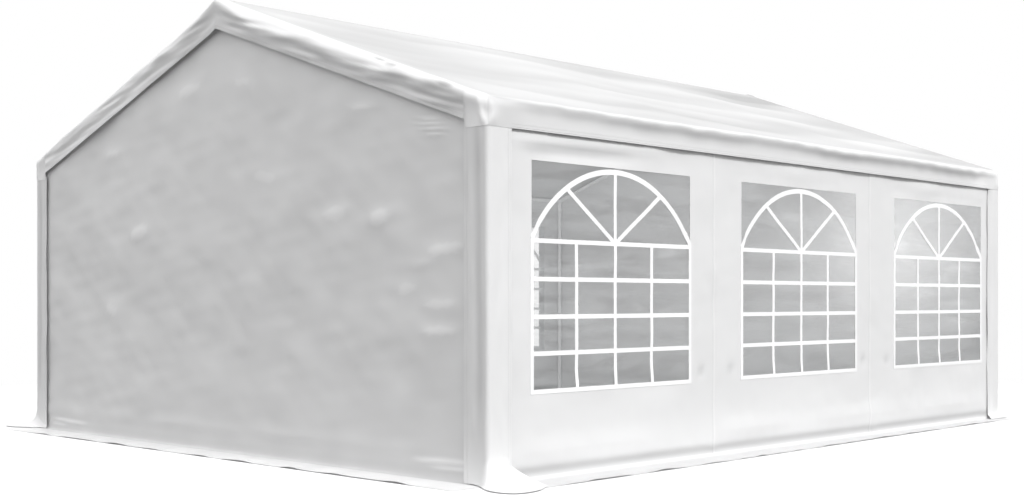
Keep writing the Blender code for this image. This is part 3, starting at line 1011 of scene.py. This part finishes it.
def window_clearance(x, z):
    """Distance of each place on the long walls from the nearest window opening, zero inside."""
    nearest = np.full(np.shape(x), FAR)
    for middle in WINDOWS:
        aside = np.clip(np.abs(x - middle) - WINDOW / 2, 0, None)
        above = np.clip(np.maximum(SILL - z, z - HEAD), 0, None)
        nearest = np.minimum(nearest, np.hypot(aside, above))
    return nearest


# %% Helpers for a long wall's grid
SEAMS = (-0.98, 0.95)
SEAM_ZONE = 0.03
SEAM_PACE = 0.006
BULGE_ZONE = 0.15
BULGE_PACE = 0.01
BEND_PACE = 0.008


def with_seams(low, high):
    """Columns from low to high, close together at a seam between them."""
    for seam in SEAMS:
        if low < seam < high:
            left = seam - SEAM_ZONE
            right = seam + SEAM_ZONE
            return chained(spaced(low, left, WALL_STEP), spaced(left, right, SEAM_PACE),
                           spaced(right, high, WALL_STEP))
    return spaced(low, high, WALL_STEP)


def long_wall_grid(name, side):
    edges = [-WALL_END]
    for middle in sorted(-side * window for window in WINDOWS):
        edges += [middle - WINDOW / 2, middle + WINDOW / 2]
    edges.append(WALL_END)
    columns = chained(*[with_seams(low, high) for low, high in zip(edges, edges[1:])])
    upright = WALL_TOP - FLOOR_Z - WALL_BEND
    turned = upright + WALL_BEND * math.pi / 2
    levels = [0, WALL_TOP - HEAD, WALL_TOP - SILL, upright - BULGE_ZONE, upright]
    levels += [turned, turned + SKIRT - WALL_BEND]
    paces = [WALL_STEP, WALL_STEP, WALL_STEP, BULGE_PACE, BEND_PACE, SKIRT_STEP]
    rows = chained(*[spaced(low, high, pace) for low, high, pace in zip(levels, levels[1:], paces)])
    return *hanging_grid(name, columns, rows), rows[-1]


# %% [markdown]
# The sheet is marked in a few places. Two seams run down it beside the middle window, each
# with a painted highlight on its ridge and painted shade beside it. Where a tie holds it from
# inside, the cloth is pulled in, small creases fan out, and painted shade darkens the pull.
# Long folds lie above the windows.

# %% Helpers for the marks on a long wall
# Folds above the windows: where each starts and ends, its width and its height.
WALL_FOLDS = (
    ((-2.9, 1.872), (-1.5, 1.9), 0.03, 0.018),
    ((-2.75, 1.812), (-1.75, 1.83), 0.026, -0.012),
    ((-0.8, 1.86), (0.5, 1.872), 0.03, 0.005),
    ((1.2, 1.87), (2.8, 1.86), 0.03, 0.006),
)
# A seam's ridge and furrow: distance from the seam, width and height. Then its painted
# highlight and painted shade: distance, width and tone.
SEAM_MARKS = ((0, 0.007, 0.0028), (-0.02, 0.006, -0.0018))
SEAM_PAINTED_SHADING = ((0, 0.006, 0.07), (-0.014, 0.006, -0.05))
TIES = ((-1.118, 0.55), (-0.807, 0.55), (0.852, 0.56), (1.185, 0.54))
TIE_PULL = (0.03, 0.012)
# Painted shade at each tie: its width and strength.
TIE_SHADE = (0.032, 0.14)
TIE_CREASES = 5
TIE_REACH = (0.06, 0.13)
TIE_CREASE_WIDTH = 0.012
TIE_CREASE_HEIGHT = (0.001, 0.0025)


def seam_marks(place, hung):
    """How far the two seams stand out, and their painted highlight and shade."""
    move = 0
    tone = 0
    for seam in SEAMS:
        for aside, width, height in SEAM_MARKS:
            line = ((seam + aside, -0.2), (seam + aside, WALL_TOP + 0.3))
            move = move + crease(place, *line, width, height) * hung
        for aside, width, shade in SEAM_PAINTED_SHADING:
            tone = tone + shade * bell(place[:, 0], seam + aside, width)
    return move, tone


def tie_marks(place, seed):
    """How far the ties' pulls and creases stand out, and the painted shade at each tie."""
    dice = random.Random(seed)
    move = 0
    tone = 0
    for across, up in TIES:
        away = np.hypot(place[:, 0] - across, place[:, 1] - up)
        move = move - TIE_PULL[1] * bell(away, 0, TIE_PULL[0])
        tone = tone - TIE_SHADE[1] * bell(away, 0, TIE_SHADE[0])
        for _ in range(TIE_CREASES):
            angle = dice.uniform(0, math.tau)
            reach = dice.uniform(*TIE_REACH)
            end = (across + reach * math.cos(angle), up + reach * math.sin(angle))
            move = move + crease(place, (across, up), end, TIE_CREASE_WIDTH, dice.uniform(*TIE_CREASE_HEIGHT))
    return move, tone


# %% [markdown]
# A wall bulges just above the ground and tucks in under the bulge, where it lies in shade and
# a band of painted shade darkens it more. The waves end before the hidden ends and the tuck
# before each leg, so that no tube comes through.

# %% Helper that makes a long wall
LONG_WAVES = (0.0035, 0.0012)
LONG_BULGE = (0.009, 0.16, 0.06)
BULGE_END = (2.7, 2.84)
WAVES_END = (2.86, 2.96)
LIFT_END = (2.5, 2.75)
TAPER = (0.05, 1)
TUCK = 0.01
TUCK_PLACE = (0.055, 0.025)
LEG_ROOM = (0.9, 0.06)
# Painted shade in the tuck above the ground, a painted shadow of the right-hand strip, and painted light on
# the skirt.
FOOT_SHADE = 0.36
FOOT_PLACE = (0.05, 0.028)
FOOT_LOW = 0.018
END_SHADE = 0.14
END_PLACE = (2.845, 0.014)
SKIRT_PAINTED_LIGHT = 0.02
LONG_RIPPLE = 0.0045


def long_wall(name, side, seed, far_skirt):
    """The wall at side -1, the front, or 1, the back. Seen from outside, far_skirt is how
    much of the skirt shows at its right end."""
    item, x, depth, length = long_wall_grid(name, side)
    out, z, run = hanging(depth, WALL_TOP)
    share = (x + WALL_END) / (2 * WALL_END)
    out = out - run * (1 - far_skirt) * smooth_step(share, *TAPER)
    place = np.stack([x, z], axis=1)
    clearance = window_clearance(-side * x, z)
    hung = smooth_step(z, *HUNG)
    waves = LONG_WAVES[0] * soft_waves(place * [1, 0.8], seed, 0.3, 1.3)
    waves += LONG_WAVES[1] * soft_waves(place, seed + 1, 0.1, 0.3)
    waves *= hung * (1 - smooth_step(np.abs(x), *WAVES_END))
    tuck = TUCK * bell(z, *TUCK_PLACE)
    for leg in RAFTERS:
        tuck *= 1 - LEG_ROOM[0] * bell(x, leg, LEG_ROOM[1])
    slack = (foot_bulge(place, *LONG_BULGE, seed + 2) - tuck) * (1 - smooth_step(np.abs(x), *BULGE_END))
    seam_move, seam_light_and_shade = seam_marks(place, hung)
    tie_move, tie_painted_shade = tie_marks(place, seed)
    move = (waves + slack) * smooth_step(clearance, 0.005, 0.08)
    move += creases(place, WALL_FOLDS) * smooth_step(clearance, 0, 0.03) + seam_move + tie_move
    # Painted light on the skirt, painted shade in the tuck and beside the right-hand strip, then the seams'
    # and ties' painted light and shade.
    tone = SKIRT_PAINTED_LIGHT * smooth_step(run, 0, 0.03) - FOOT_SHADE * bell(z, *FOOT_PLACE) * (z > FOOT_LOW)
    tone -= END_SHADE * bell(x, *END_PLACE) * smooth_step(z, 0.04, 0.1)
    store(item, "tone", tone + seam_light_and_shade + tie_painted_shade)
    lift = skirt_lift(x, run, LONG_RIPPLE, seed + 3, LIFT_END)
    set_points(item, -side * x, side * (out + move - WALL_Y), z + lift)
    store(item, "edge", np.minimum(run.max() - run, WALL_END - np.abs(x)))
    delete_faces(item, lambda face: window_clearance(-side * face.x, face.z) < NEARLY)
    return item, length


# %% Hang the long walls
for name, side, seed, far_skirt in (("front", -1, 40, 0.62), ("back", 1, 50, 1.0)):
    item, length = long_wall(f"{name}_wall_sheet", side, seed, far_skirt)
    finish_cloth(item, wall_cloth)
    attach(item, "root")
    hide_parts(f"{name}_wall")
    print(item.name, len(item.data.polygons), "faces, flat", round(2 * WALL_END, 2), round(length, 2))

# %% [markdown]
# A gable wall is cut to the slope of the roof. Its columns keep their distance and its rows
# follow the slope at the top and the ground at the bottom. It is in the shade, so what shows
# is a soft mottling, with a few flat folds where the cloth piles up at the ground.

# %% Sizes of the gable walls
TOP_ROOM = 0.012
GABLE_SIDE = gable_high.y
GABLE_TOP = gable_high.z - TOP_ROOM
GABLE_SKIRT = -GABLE_OUT - gable_low.x - SKIRT_SPARE
GABLE_STEP = 0.035
GABLE_BEND_PACE = 0.01
# Rows of a gable: from one share of its height to another, and the share between two rows.
GABLE_ROWS = ((0, 0.14, 0.0035), (0.14, 0.94, 0.008), (0.94, 1, 0.005))
# Folds on a gable: where each starts and ends, its width and its height.
GABLE_FOLDS = (
    ((-2.42, 0.115), (-1.9, 0.1), 0.014, 0.011),
    ((-2.40, 0.075), (-2.05, 0.07), 0.012, 0.009),
    ((2.25, 0.085), (1.75, 0.07), 0.012, 0.010),
    ((2.28, 0.05), (2.05, 0.045), 0.010, 0.008),
    ((-2.14, 1.995), (-1.93, 2.01), 0.009, 0.006),
    ((-2.18, 1.968), (-1.91, 1.98), 0.009, 0.007),
    ((-2.2, 1.938), (-1.94, 1.95), 0.009, 0.007),
    ((-2.16, 1.91), (-1.97, 1.918), 0.009, 0.006),
    ((-2.34, 1.29), (-2.0, 1.265), 0.04, 0.008),
    ((-2.1, 1.215), (-1.88, 1.18), 0.03, 0.004),
    ((-2.3, 0.98), (-1.95, 0.965), 0.04, 0.006),
    ((-2.3, 0.83), (-1.95, 0.82), 0.04, 0.006),
    ((-1.72, 1.49), (-1.5, 1.46), 0.06, 0.008),
    ((-1.95, 1.08), (-1.75, 1.04), 0.05, 0.006),
    ((0.88, 1.5), (1.14, 1.44), 0.055, 0.009),
    ((0.2, 2.43), (0.55, 2.39), 0.05, 0.007),
    ((-0.4, 2.38), (-0.1, 2.42), 0.05, 0.005),
    ((1.55, 2.05), (1.2, 2.06), 0.045, 0.005),
    ((-1.35, 1.53), (-1.05, 1.5), 0.07, 0.006),
    ((-0.7, 1.75), (-0.3, 1.8), 0.08, 0.005),
    ((-1.6, 2.12), (-1.3, 2.13), 0.03, 0.005),
    ((1.5, 0.95), (1.3, 0.9), 0.06, 0.006),
)


def gable_grid(name):
    """The gable's grid, with the height of its top edge and the depth below that."""
    tall = GABLE_TOP - FLOOR_Z - WALL_BEND
    bend = WALL_BEND * math.pi / 2
    shares = chained(*[spaced(*run) for run in GABLE_ROWS])
    rest = spaced(0, bend, GABLE_BEND_PACE)[1:] + spaced(bend, bend + GABLE_SKIRT - WALL_BEND, SKIRT_STEP)[1:]
    rows = [share * tall for share in shares] + [tall + more for more in rest]
    item, y, depth = hanging_grid(name, spaced(-GABLE_SIDE, GABLE_SIDE, GABLE_STEP), rows)
    top = GABLE_TOP - SLOPE * np.abs(y)
    short = top - FLOOR_Z - WALL_BEND
    return item, y, top, np.where(depth <= tall, depth / tall * short, depth - tall + short)


# %% Make the gable walls
GABLE_WAVES = (0.004, 0.0014)
GABLE_BULGE = (0.007, 0.15, 0.05)
GABLE_RIPPLE = 0.004
GABLE_LIFT_END = (2.0, 2.25)
HIDDEN_END = 2.46
FOLD_PAINTED_HIGHLIGHT_MOST = 0.17
BLOTCH = 0.014
# Painted shade that darkens the gable towards the ground, and a line of it along the foot.
GROUND_SHADE = 0.13
FOOT_LINE_SHADE = 0.05
# Painted highlight on a fold for its height, where it is sharp or lies low, and elsewhere.
FOLD_PAINTED_HIGHLIGHTS = (22, 9)
# Painted light on the skirt, which lies flat on the ground.
GABLE_SKIRT_PAINTED_LIGHT = 0.07


def gable_wall(name, side, seed):
    """The gable at side -1, the left, or 1, the right."""
    item, y, top, depth = gable_grid(name)
    out, z, run = hanging(depth, top)
    place = np.stack([y, z], axis=1)
    waves = GABLE_WAVES[0] * soft_waves(place, seed, 0.35, 1.4)
    waves += GABLE_WAVES[1] * soft_waves(place * [0.8, 1.2], seed + 1, 0.12, 0.35)
    folds = creases(place * [side, 1], GABLE_FOLDS)
    move = waves * smooth_step(z, *HUNG) + foot_bulge(place, *GABLE_BULGE, seed + 2) + folds
    move *= smooth_step(HIDDEN_END - np.abs(y), 0, 0.1) * smooth_step(top - z, 0.1, 0.2)
    # The tone: random blotches, painted shade near the ground, painted highlights on the folds and painted
    # light on the skirt.
    near_ground = GROUND_SHADE * (1 - smooth_step(z, 0.05, 0.5)) + FOOT_LINE_SHADE * bell(z, 0.05, 0.025)
    tone = BLOTCH * soft_waves(place, seed + 4, 0.25, 0.9) - near_ground * (run == 0)
    tone += np.clip(folds * np.where((z < 0.2) | (folds > 0.004), *FOLD_PAINTED_HIGHLIGHTS), 0, FOLD_PAINTED_HIGHLIGHT_MOST)
    store(item, "tone", tone + GABLE_SKIRT_PAINTED_LIGHT * smooth_step(run, 0, 0.03))
    lift = skirt_lift(y, run, GABLE_RIPPLE, seed + 3, GABLE_LIFT_END)
    set_points(item, side * (GABLE_OUT + out + move), side * y, z + lift)
    store(item, "edge", np.minimum(run.max() - run, GABLE_SIDE - np.abs(y)))
    return item


for name, side, seed, number in (("left", -1, 60, 1), ("right", 1, 70, 4)):
    item = gable_wall(f"{name}_gable_sheet", side, seed)
    finish_cloth(item, wall_cloth)
    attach(item, "root")
    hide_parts(f"{name}_gable_wall")

# %% [markdown]
# A corner strip is an angle of cloth that hangs below the cover's corner. Near the ground it
# spreads into a rounded flap. Each of its columns runs straight down and then follows a
# Bezier curve out to its own place on the hem. The flaps on the right are smaller.

# %% Sizes of the strips
# Share across the strip, from the gable side at -1 to the long side at 1, then how far the
# hem lies beyond the tent's corner along X and Y, and its height.
STRIP_HEM = np.array((
    (-1.0, 0.0, -0.178, 0.008),
    (-0.5, 0.008, -0.085, 0.008),
    (-0.2, 0.035, -0.02, 0.008),
    (0.0, 0.08, 0.05, 0.008),
    (0.2, 0.12, 0.14, 0.008),
    (0.4, 0.118, 0.235, 0.008),
    (0.6, 0.075, 0.298, 0.008),
    (0.75, 0.0, 0.314, 0.008),
    (0.9, -0.12, 0.285, 0.008),
    (1.0, -0.24, 0.21, 0.008),
)).T
STRIP_TUCK = 0.02
STRIP_TOP = VALANCE_Z + STRIP_TUCK
STRIP_STEP = 0.011
PLUMB_STEP = 0.022
FLARE_STEP = 0.06
# Height where the flap starts to spread: at the gable side, at the corner and at the long side.
FLARE_START = (0.04, 0.17, 0.1)
RIGHT_FLARE_START = 0.045
RIGHT_FLAP = 0.05


# %% Helpers for a strip's shape
def strip_outline(distance, bend):
    """The strip seen from above, from the tent's corner: two faces and a round bend."""
    arc = bend * math.pi / 4
    angle = np.clip(distance / bend, -math.pi / 4, math.pi / 4) + math.pi / 4
    beyond = np.clip(np.abs(distance) - arc, 0, None)
    x = np.where(distance > arc, -bend - beyond, bend * np.cos(angle) - bend)
    y = np.where(distance < -arc, -bend - beyond, bend * np.sin(angle) - bend)
    return x, y


def strip_ends(share, right):
    """The height where each column starts to spread, and the three places of its end."""
    ends = [through(STRIP_HEM[0], line, share) for line in STRIP_HEM[1:]]
    if right:
        ends[1] = np.minimum(ends[1], RIGHT_FLAP)
        return np.full(len(share), RIGHT_FLARE_START), ends
    gable, corner, long = FLARE_START
    on_long = corner + (long - corner) * share
    on_gable = gable + (corner - gable) * (1 + share) ** 2
    return np.where(share > 0, on_long, on_gable), ends


def strip_curve(t, here, end, share, right):
    """Places on the Bezier curves from here to the end, at the share t of their length."""
    spread = smooth_step(share, 0.45, 0.95) * (not right)
    pull = 0.1 + 0.3 * spread
    knee = [here[axis] + pull * (end[axis] - here[axis]) for axis in (0, 1)]
    knee.append(0.016 + 0.03 * spread)
    return [(1 - t) ** 2 * a + 2 * t * (1 - t) * b + t * t * c for a, b, c in zip(here, knee, end)]


# %% Helper that makes a corner strip
STRIP_WAVE = 0.0018
STRIP_HOLLOW = 0.011
STRIP_CURL = 0.0135
# Painted light that lifts the strip's darker roof cloth a little above the walls' white, more on the flap
# where it lies on the ground, and painted shade in the hollow and at the bend.
STRIP_PAINTED_LIGHT = 0.31
FLAP_PAINTED_LIGHT = 0.16
STRIP_HOLLOW_SHADE = 0.14
STRIP_BEND_SHADE = 0.22


def corner_strip(name, side_x, side_y, seed):
    right = side_x > 0
    rows = chained(spaced(0, 1, PLUMB_STEP), spaced(1, 2, FLARE_STEP))
    item, distance, row = hanging_grid(name, spaced(-STRIP, STRIP, STRIP_STEP), rows)
    share = distance / STRIP
    t = np.clip(row - 1, 0, 1)
    x, y = strip_outline(distance, FRONT_CORNER if side_y < 0 else BACK_CORNER)
    start, end = strip_ends(share, right)
    z = STRIP_TOP + (start - STRIP_TOP) * np.clip(row, 0, 1)
    curve = strip_curve(t, (x, y, start), end, share, right)
    x, y, z = [np.where(t > 0, curved, plumb) for curved, plumb in zip(curve, (x, y, z))]
    set_points(item, side_x * (END_X - STRIP_INSET + x), side_y * (SIDE_Y - STRIP_INSET + y), z)
    if side_x * side_y < 0:
        open_edit(item)
        bpy.ops.mesh.flip_normals()
        close_edit()

    waves = soft_waves(np.stack([distance, z * 0.22], axis=1), seed, 0.05, 0.2)
    move = STRIP_WAVE * waves * (0.4 + 0.6 * smooth_step(np.abs(share), 0.05, 0.4))
    dip_at = 0.16 * (1 - z / STRIP_TOP) - 0.44
    dips = bell(share, dip_at, 0.2) + 0.3 * bell(share, 0.5, 0.25)
    move -= STRIP_HOLLOW * dips * smooth_step(z, 0.2, 0.5)
    move *= smooth_step(row, 0.02, 0.15) * (1 - 0.6 * smooth_step(t, 0.2, 1))
    if right:
        curl = STRIP_CURL * smooth_step(share, 0.6, 1.0) * smooth_step(z, 0.02, 0.05)
        move -= curl * smooth_step(row, 0.0, 0.03)
    set_points(item, points_of(item) + normals_of(item) * move[:, None])

    # Painted light on the strip and its flap, painted shade in its hollow and at its bend.
    flap = FLAP_PAINTED_LIGHT * smooth_step(t, 0.02, 0.2)
    if side_y < 0:
        flap *= smooth_step(share, -0.25, 0.0)
    tone = STRIP_PAINTED_LIGHT + flap
    tone -= STRIP_HOLLOW_SHADE * bell(share, dip_at, 0.14) * smooth_step(z, 0.15, 0.5)
    if right or side_y > 0:
        tone -= STRIP_BEND_SHADE * bell(share, 0, 0.08) * (t == 0)
    store(item, "tone", tone)
    flat_long = STRIP_TOP - start + np.hypot(start, np.hypot(end[0], end[1])) * t
    above_hem = flat_long.max() * (1 - t) + (1 - np.clip(row, 0, 1))
    store(item, "edge", np.minimum(STRIP - np.abs(distance), above_hem))
    return item


# %% Hang the corner strips
for row, side_y in (("front", -1), ("back", 1)):
    for end, side_x in (("left", -1), ("right", 1)):
        seed = 80 + 2 * side_x + 5 * side_y
        item = corner_strip(f"corner_strip_{row}_{end}", side_x, side_y, seed)
        finish_cloth(item, roof_cloth_painted_darker)
        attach(item, "root")
        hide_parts(f"corner_cover_{row}_{end}")
        print(item.name, len(item.data.polygons), "faces")

# %% [markdown]
# The clear films are lapped behind the openings. Each hangs in soft waves, because the film
# is stiffer than the cloth around it. Its haze is uneven, in long flat clouds, and so is its
# bump, which breaks up what it mirrors.

# %% The film's waves and its material
FILM_Y = -film_low.y
FILM_STEP = 0.025
FILM = 0.0008
FILM_WAVE = 0.0015
CLOUD_STRETCH = (0.5, 1.0, 3.2)
CLOUD = {"Scale": 2.6, "Detail": 4.0, "Distortion": 0.8}
HAZE_IN = (0.3, 0.72)
HAZE_OUT = (0.04, 0.2)
FILM_DEPTH = 0.002
FILM_FINISH = {"Base Color": (0.72, 0.74, 0.75, 1), "Roughness": 0.12, "IOR": 1.5}


def film_wave(x, z, seed):
    """How far the film stands out, for places measured from the middle of its window."""
    aside = smooth_step(WINDOW / 2 - np.abs(x), -0.01, 0.1)
    free = aside * smooth_step(np.minimum(z - SILL, HEAD - z), -0.01, 0.1)
    return FILM_WAVE * soft_waves(np.stack([x * 0.35, z], axis=1), seed, 0.14, 0.45) * free


clear_film, tree, shader = new_material("clear_film")
film_place = add_node(tree, "TexCoord").outputs["Object"]
stretch = add_node(tree, "Mapping", {"Vector": film_place, "Scale": CLOUD_STRETCH}).outputs["Vector"]
cloudy = add_node(tree, "TexNoise", {"Vector": stretch, **CLOUD}).outputs["Fac"]
haze = map_range(tree, cloudy, HAZE_IN, HAZE_OUT)
set_inputs(tree, shader, {"Alpha": haze, "Normal": bump(tree, cloudy, FILM_DEPTH), **FILM_FINISH})

# %% Hang the films
FILM_SEED = 90
film_columns = spaced(-WINDOW / 2 - FILM_LAP, WINDOW / 2 + FILM_LAP, FILM_STEP)
film_rows = spaced(SILL - FILM_LAP, HEAD + FILM_LAP, FILM_STEP)
size = (2 * (WINDOW / 2 + FILM_LAP), HEAD - SILL + 2 * FILM_LAP)
for name, side in (("front", -1), ("back", 1)):
    for number, middle in enumerate(WINDOWS, 1):
        item, x, z = cloth_grid(f"{name}_film_{number}", film_columns, film_rows)
        out = FILM_Y + film_wave(x, z, FILM_SEED + number)
        set_points(item, middle - side * x, side * (out - FILM / 2), z)
        finish_cloth(item, clear_film, FILM)
        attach(item, "root")
        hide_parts(f"{name}_window_{number}")
print("film", [round(side, 2) for side in size])

# %% [markdown]
# White bars are welded on the film in the shape of a round headed window. The bars of one
# window are flat boxes and a spun arch, joined into one solid by Booleans. Bisecting them
# every few centimetres gives them points enough to bend with the film, and each window then
# gets its own copy.

# %% Sizes of the bars
BAR = 0.0255
ARCH_BAR = 0.031
BAR_DEEP = 0.003
CROSS_Z = 1.325
RAIL_Z = (0.698, 0.902, 1.112)
POST_X = (-0.34, 0.0, 0.34)
FRAME_X = 0.713
FRAME_Z = 0.487
BAR_INSET = 0.0005
ARCH_RADIUS = 0.828
ARCH_CENTRE_Z = 0.917
ARCH_STEPS = 40
SPOKE_TOPS = ((-0.423, 1.625), (0.0, 1.745), (0.423, 1.625))
BISECT_PACES = (0.03, 0.04)


# %% Helpers for the bars
def flat_bar(start, end, deep):
    """A flat bar between two places on the window, as an object."""
    start = Vector((start[0], 0, start[1]))
    end = Vector((end[0], 0, end[1]))
    deselect()
    bpy.ops.mesh.primitive_cube_add(size=1, location=(start + end) / 2)
    item = bpy.context.object
    item.scale = (BAR, deep, (end - start).length)
    item.rotation_euler = (0, math.atan2(end.x - start.x, end.z - start.z), 0)
    bpy.ops.object.transform_apply(location=True, rotation=True, scale=True)
    return item


def arch_bar():
    """The arch, spun about its centre from one frame bar to the other."""
    half = math.asin(FRAME_X / ARCH_RADIUS)
    deselect()
    bpy.ops.mesh.primitive_plane_add(size=1)
    item = bpy.context.object
    item.scale = (ARCH_BAR, BAR_DEEP, 1)
    bpy.ops.object.transform_apply(location=False, rotation=False, scale=True)
    places = points_of(item)
    outward = places[:, 0] + ARCH_RADIUS
    set_points(item, -outward * math.sin(half), places[:, 1], ARCH_CENTRE_Z + outward * math.cos(half))
    open_edit(item)
    bpy.ops.mesh.spin(steps=ARCH_STEPS, angle=2 * half, center=(0, 0, ARCH_CENTRE_Z), axis=(0, -1, 0))
    bpy.ops.mesh.select_all(action="SELECT")
    bpy.ops.mesh.remove_doubles(threshold=0.00001)
    bpy.ops.mesh.normals_make_consistent(inside=False)
    close_edit()
    return item


def bisect_all(item, axis, low, high, pace):
    """Cuts the mesh across an axis every pace, keeping both sides."""
    open_edit(item)
    for place in spaced(low, high, pace)[1:-1]:
        point = [0, 0, 0]
        normal = [0, 0, 0]
        point[axis] = place
        normal[axis] = 1
        bpy.ops.mesh.select_all(action="SELECT")
        bpy.ops.mesh.bisect(plane_co=point, plane_no=normal)
    close_edit()


# %% Model the bars of one window
spring_z = ARCH_CENTRE_Z + math.sqrt(ARCH_RADIUS**2 - FRAME_X**2)
foot_z = FRAME_Z - BAR / 2 + BAR_INSET
reach = FRAME_X + BAR / 2 - BAR_INSET
lines = [((x, foot_z), (x, spring_z)) for x in (-FRAME_X, FRAME_X)]
lines += [((-reach, FRAME_Z), (reach, FRAME_Z)), ((-FRAME_X, CROSS_Z), (FRAME_X, CROSS_Z))]
lines += [((-FRAME_X, z), (FRAME_X, z)) for z in RAIL_Z]
lines += [((x, FRAME_Z), (x, CROSS_Z)) for x in POST_X]
lines += [((0, CROSS_Z), top) for top in SPOKE_TOPS]
window_bars = arch_bar()
for number, (start, end) in enumerate(lines, 1):
    # Each bar is a hair deeper than the one before, so that no two faces lie in one plane.
    other = flat_bar(start, end, BAR_DEEP + 0.00006 * number)
    union = window_bars.modifiers.new("union", "BOOLEAN")
    union.operation = "UNION"
    union.solver = "EXACT"
    union.object = other
    apply_modifier(window_bars, "union")
    bpy.data.objects.remove(other, do_unlink=True)
bisect_all(window_bars, 2, foot_z, HEAD, BISECT_PACES[1])
bisect_all(window_bars, 0, -reach, reach, BISECT_PACES[0])
print("bars of one window:", len(window_bars.data.polygons), "faces")

# %% [markdown]
# The bars are smooth white plastic, and the steel tubes have a white powder coat. Both are
# pale, a little cloudy and finely grained, so one helper makes both, each with its own grain.
# The steel tubes and fittings are right as they come and only get their coat.


# %% Make the plastic and the steel's coat
def coat(name, grain, depth, dull, pale, roughness):
    """A pale finish with a grain, and with colours from dull to pale."""
    material, tree, shader = new_material(name)
    place = add_node(tree, "TexCoord").outputs["Object"]
    grained = add_node(tree, "Group", {"Place": place, "Scale": grain}, node_tree=crumple).outputs
    ramp = add_node(tree, "ValToRGB", {"Fac": grained["Tint"]})
    ramp.color_ramp.elements[0].color = (dull, dull, dull + 0.005, 1)
    ramp.color_ramp.elements[1].color = (pale, pale, pale + 0.005, 1)
    normal = bump(tree, grained["Height"], depth)
    set_inputs(tree, shader, {"Base Color": ramp.outputs["Color"], "Normal": normal, "Roughness": roughness})
    return material


welded_plastic = coat("white_welded_plastic", 30.0, 0.0003, 0.9, 0.95, 0.3)
coated_steel = coat("white_coated_steel", 140.0, 0.0002, 0.9, 0.96, 0.35)
print("finishes:", welded_plastic.name, coated_steel.name)

# %% Weld a copy of the bars on each window
BAR_SINK = 0.0008
BAR_LIFT = 0.0065
x, y, z = points_of(window_bars).T
# The outer bars lie on the cloth at the opening's edge, and so a little further out.
over_cloth = smooth_step(np.abs(x), 0.655, 0.69)
over_cloth = np.maximum(over_cloth, 1 - smooth_step(z, SILL + 0.02, SILL + 0.15))
for name, side in (("front", -1), ("back", 1)):
    for number, middle in enumerate(WINDOWS, 1):
        item = bpy.data.objects.new(f"{name}_bars_{number}", window_bars.data.copy())
        bpy.context.scene.collection.objects.link(item)
        out = FILM_Y + film_wave(x, z, FILM_SEED + number) - BAR_SINK - y + BAR_LIFT * over_cloth
        set_points(item, middle - side * x, side * out, z)
        item.data.materials.clear()
        item.data.materials.append(welded_plastic)
        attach(item, "root")
bpy.data.objects.remove(window_bars, do_unlink=True)
print("bars made for", 2 * BAYS, "windows")

# %% Coat the steel frame
STEEL = ("leg_", "eave_joint_", "rafter_", "ridge_joint_", "eave_purlin_", "ridge_purlin_")
for node_name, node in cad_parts.items():
    if node_name.startswith(STEEL):
        for slot in node.material_slots:
            slot.material = coated_steel
print("coated", sum(name.startswith(STEEL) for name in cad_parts), "steel parts")
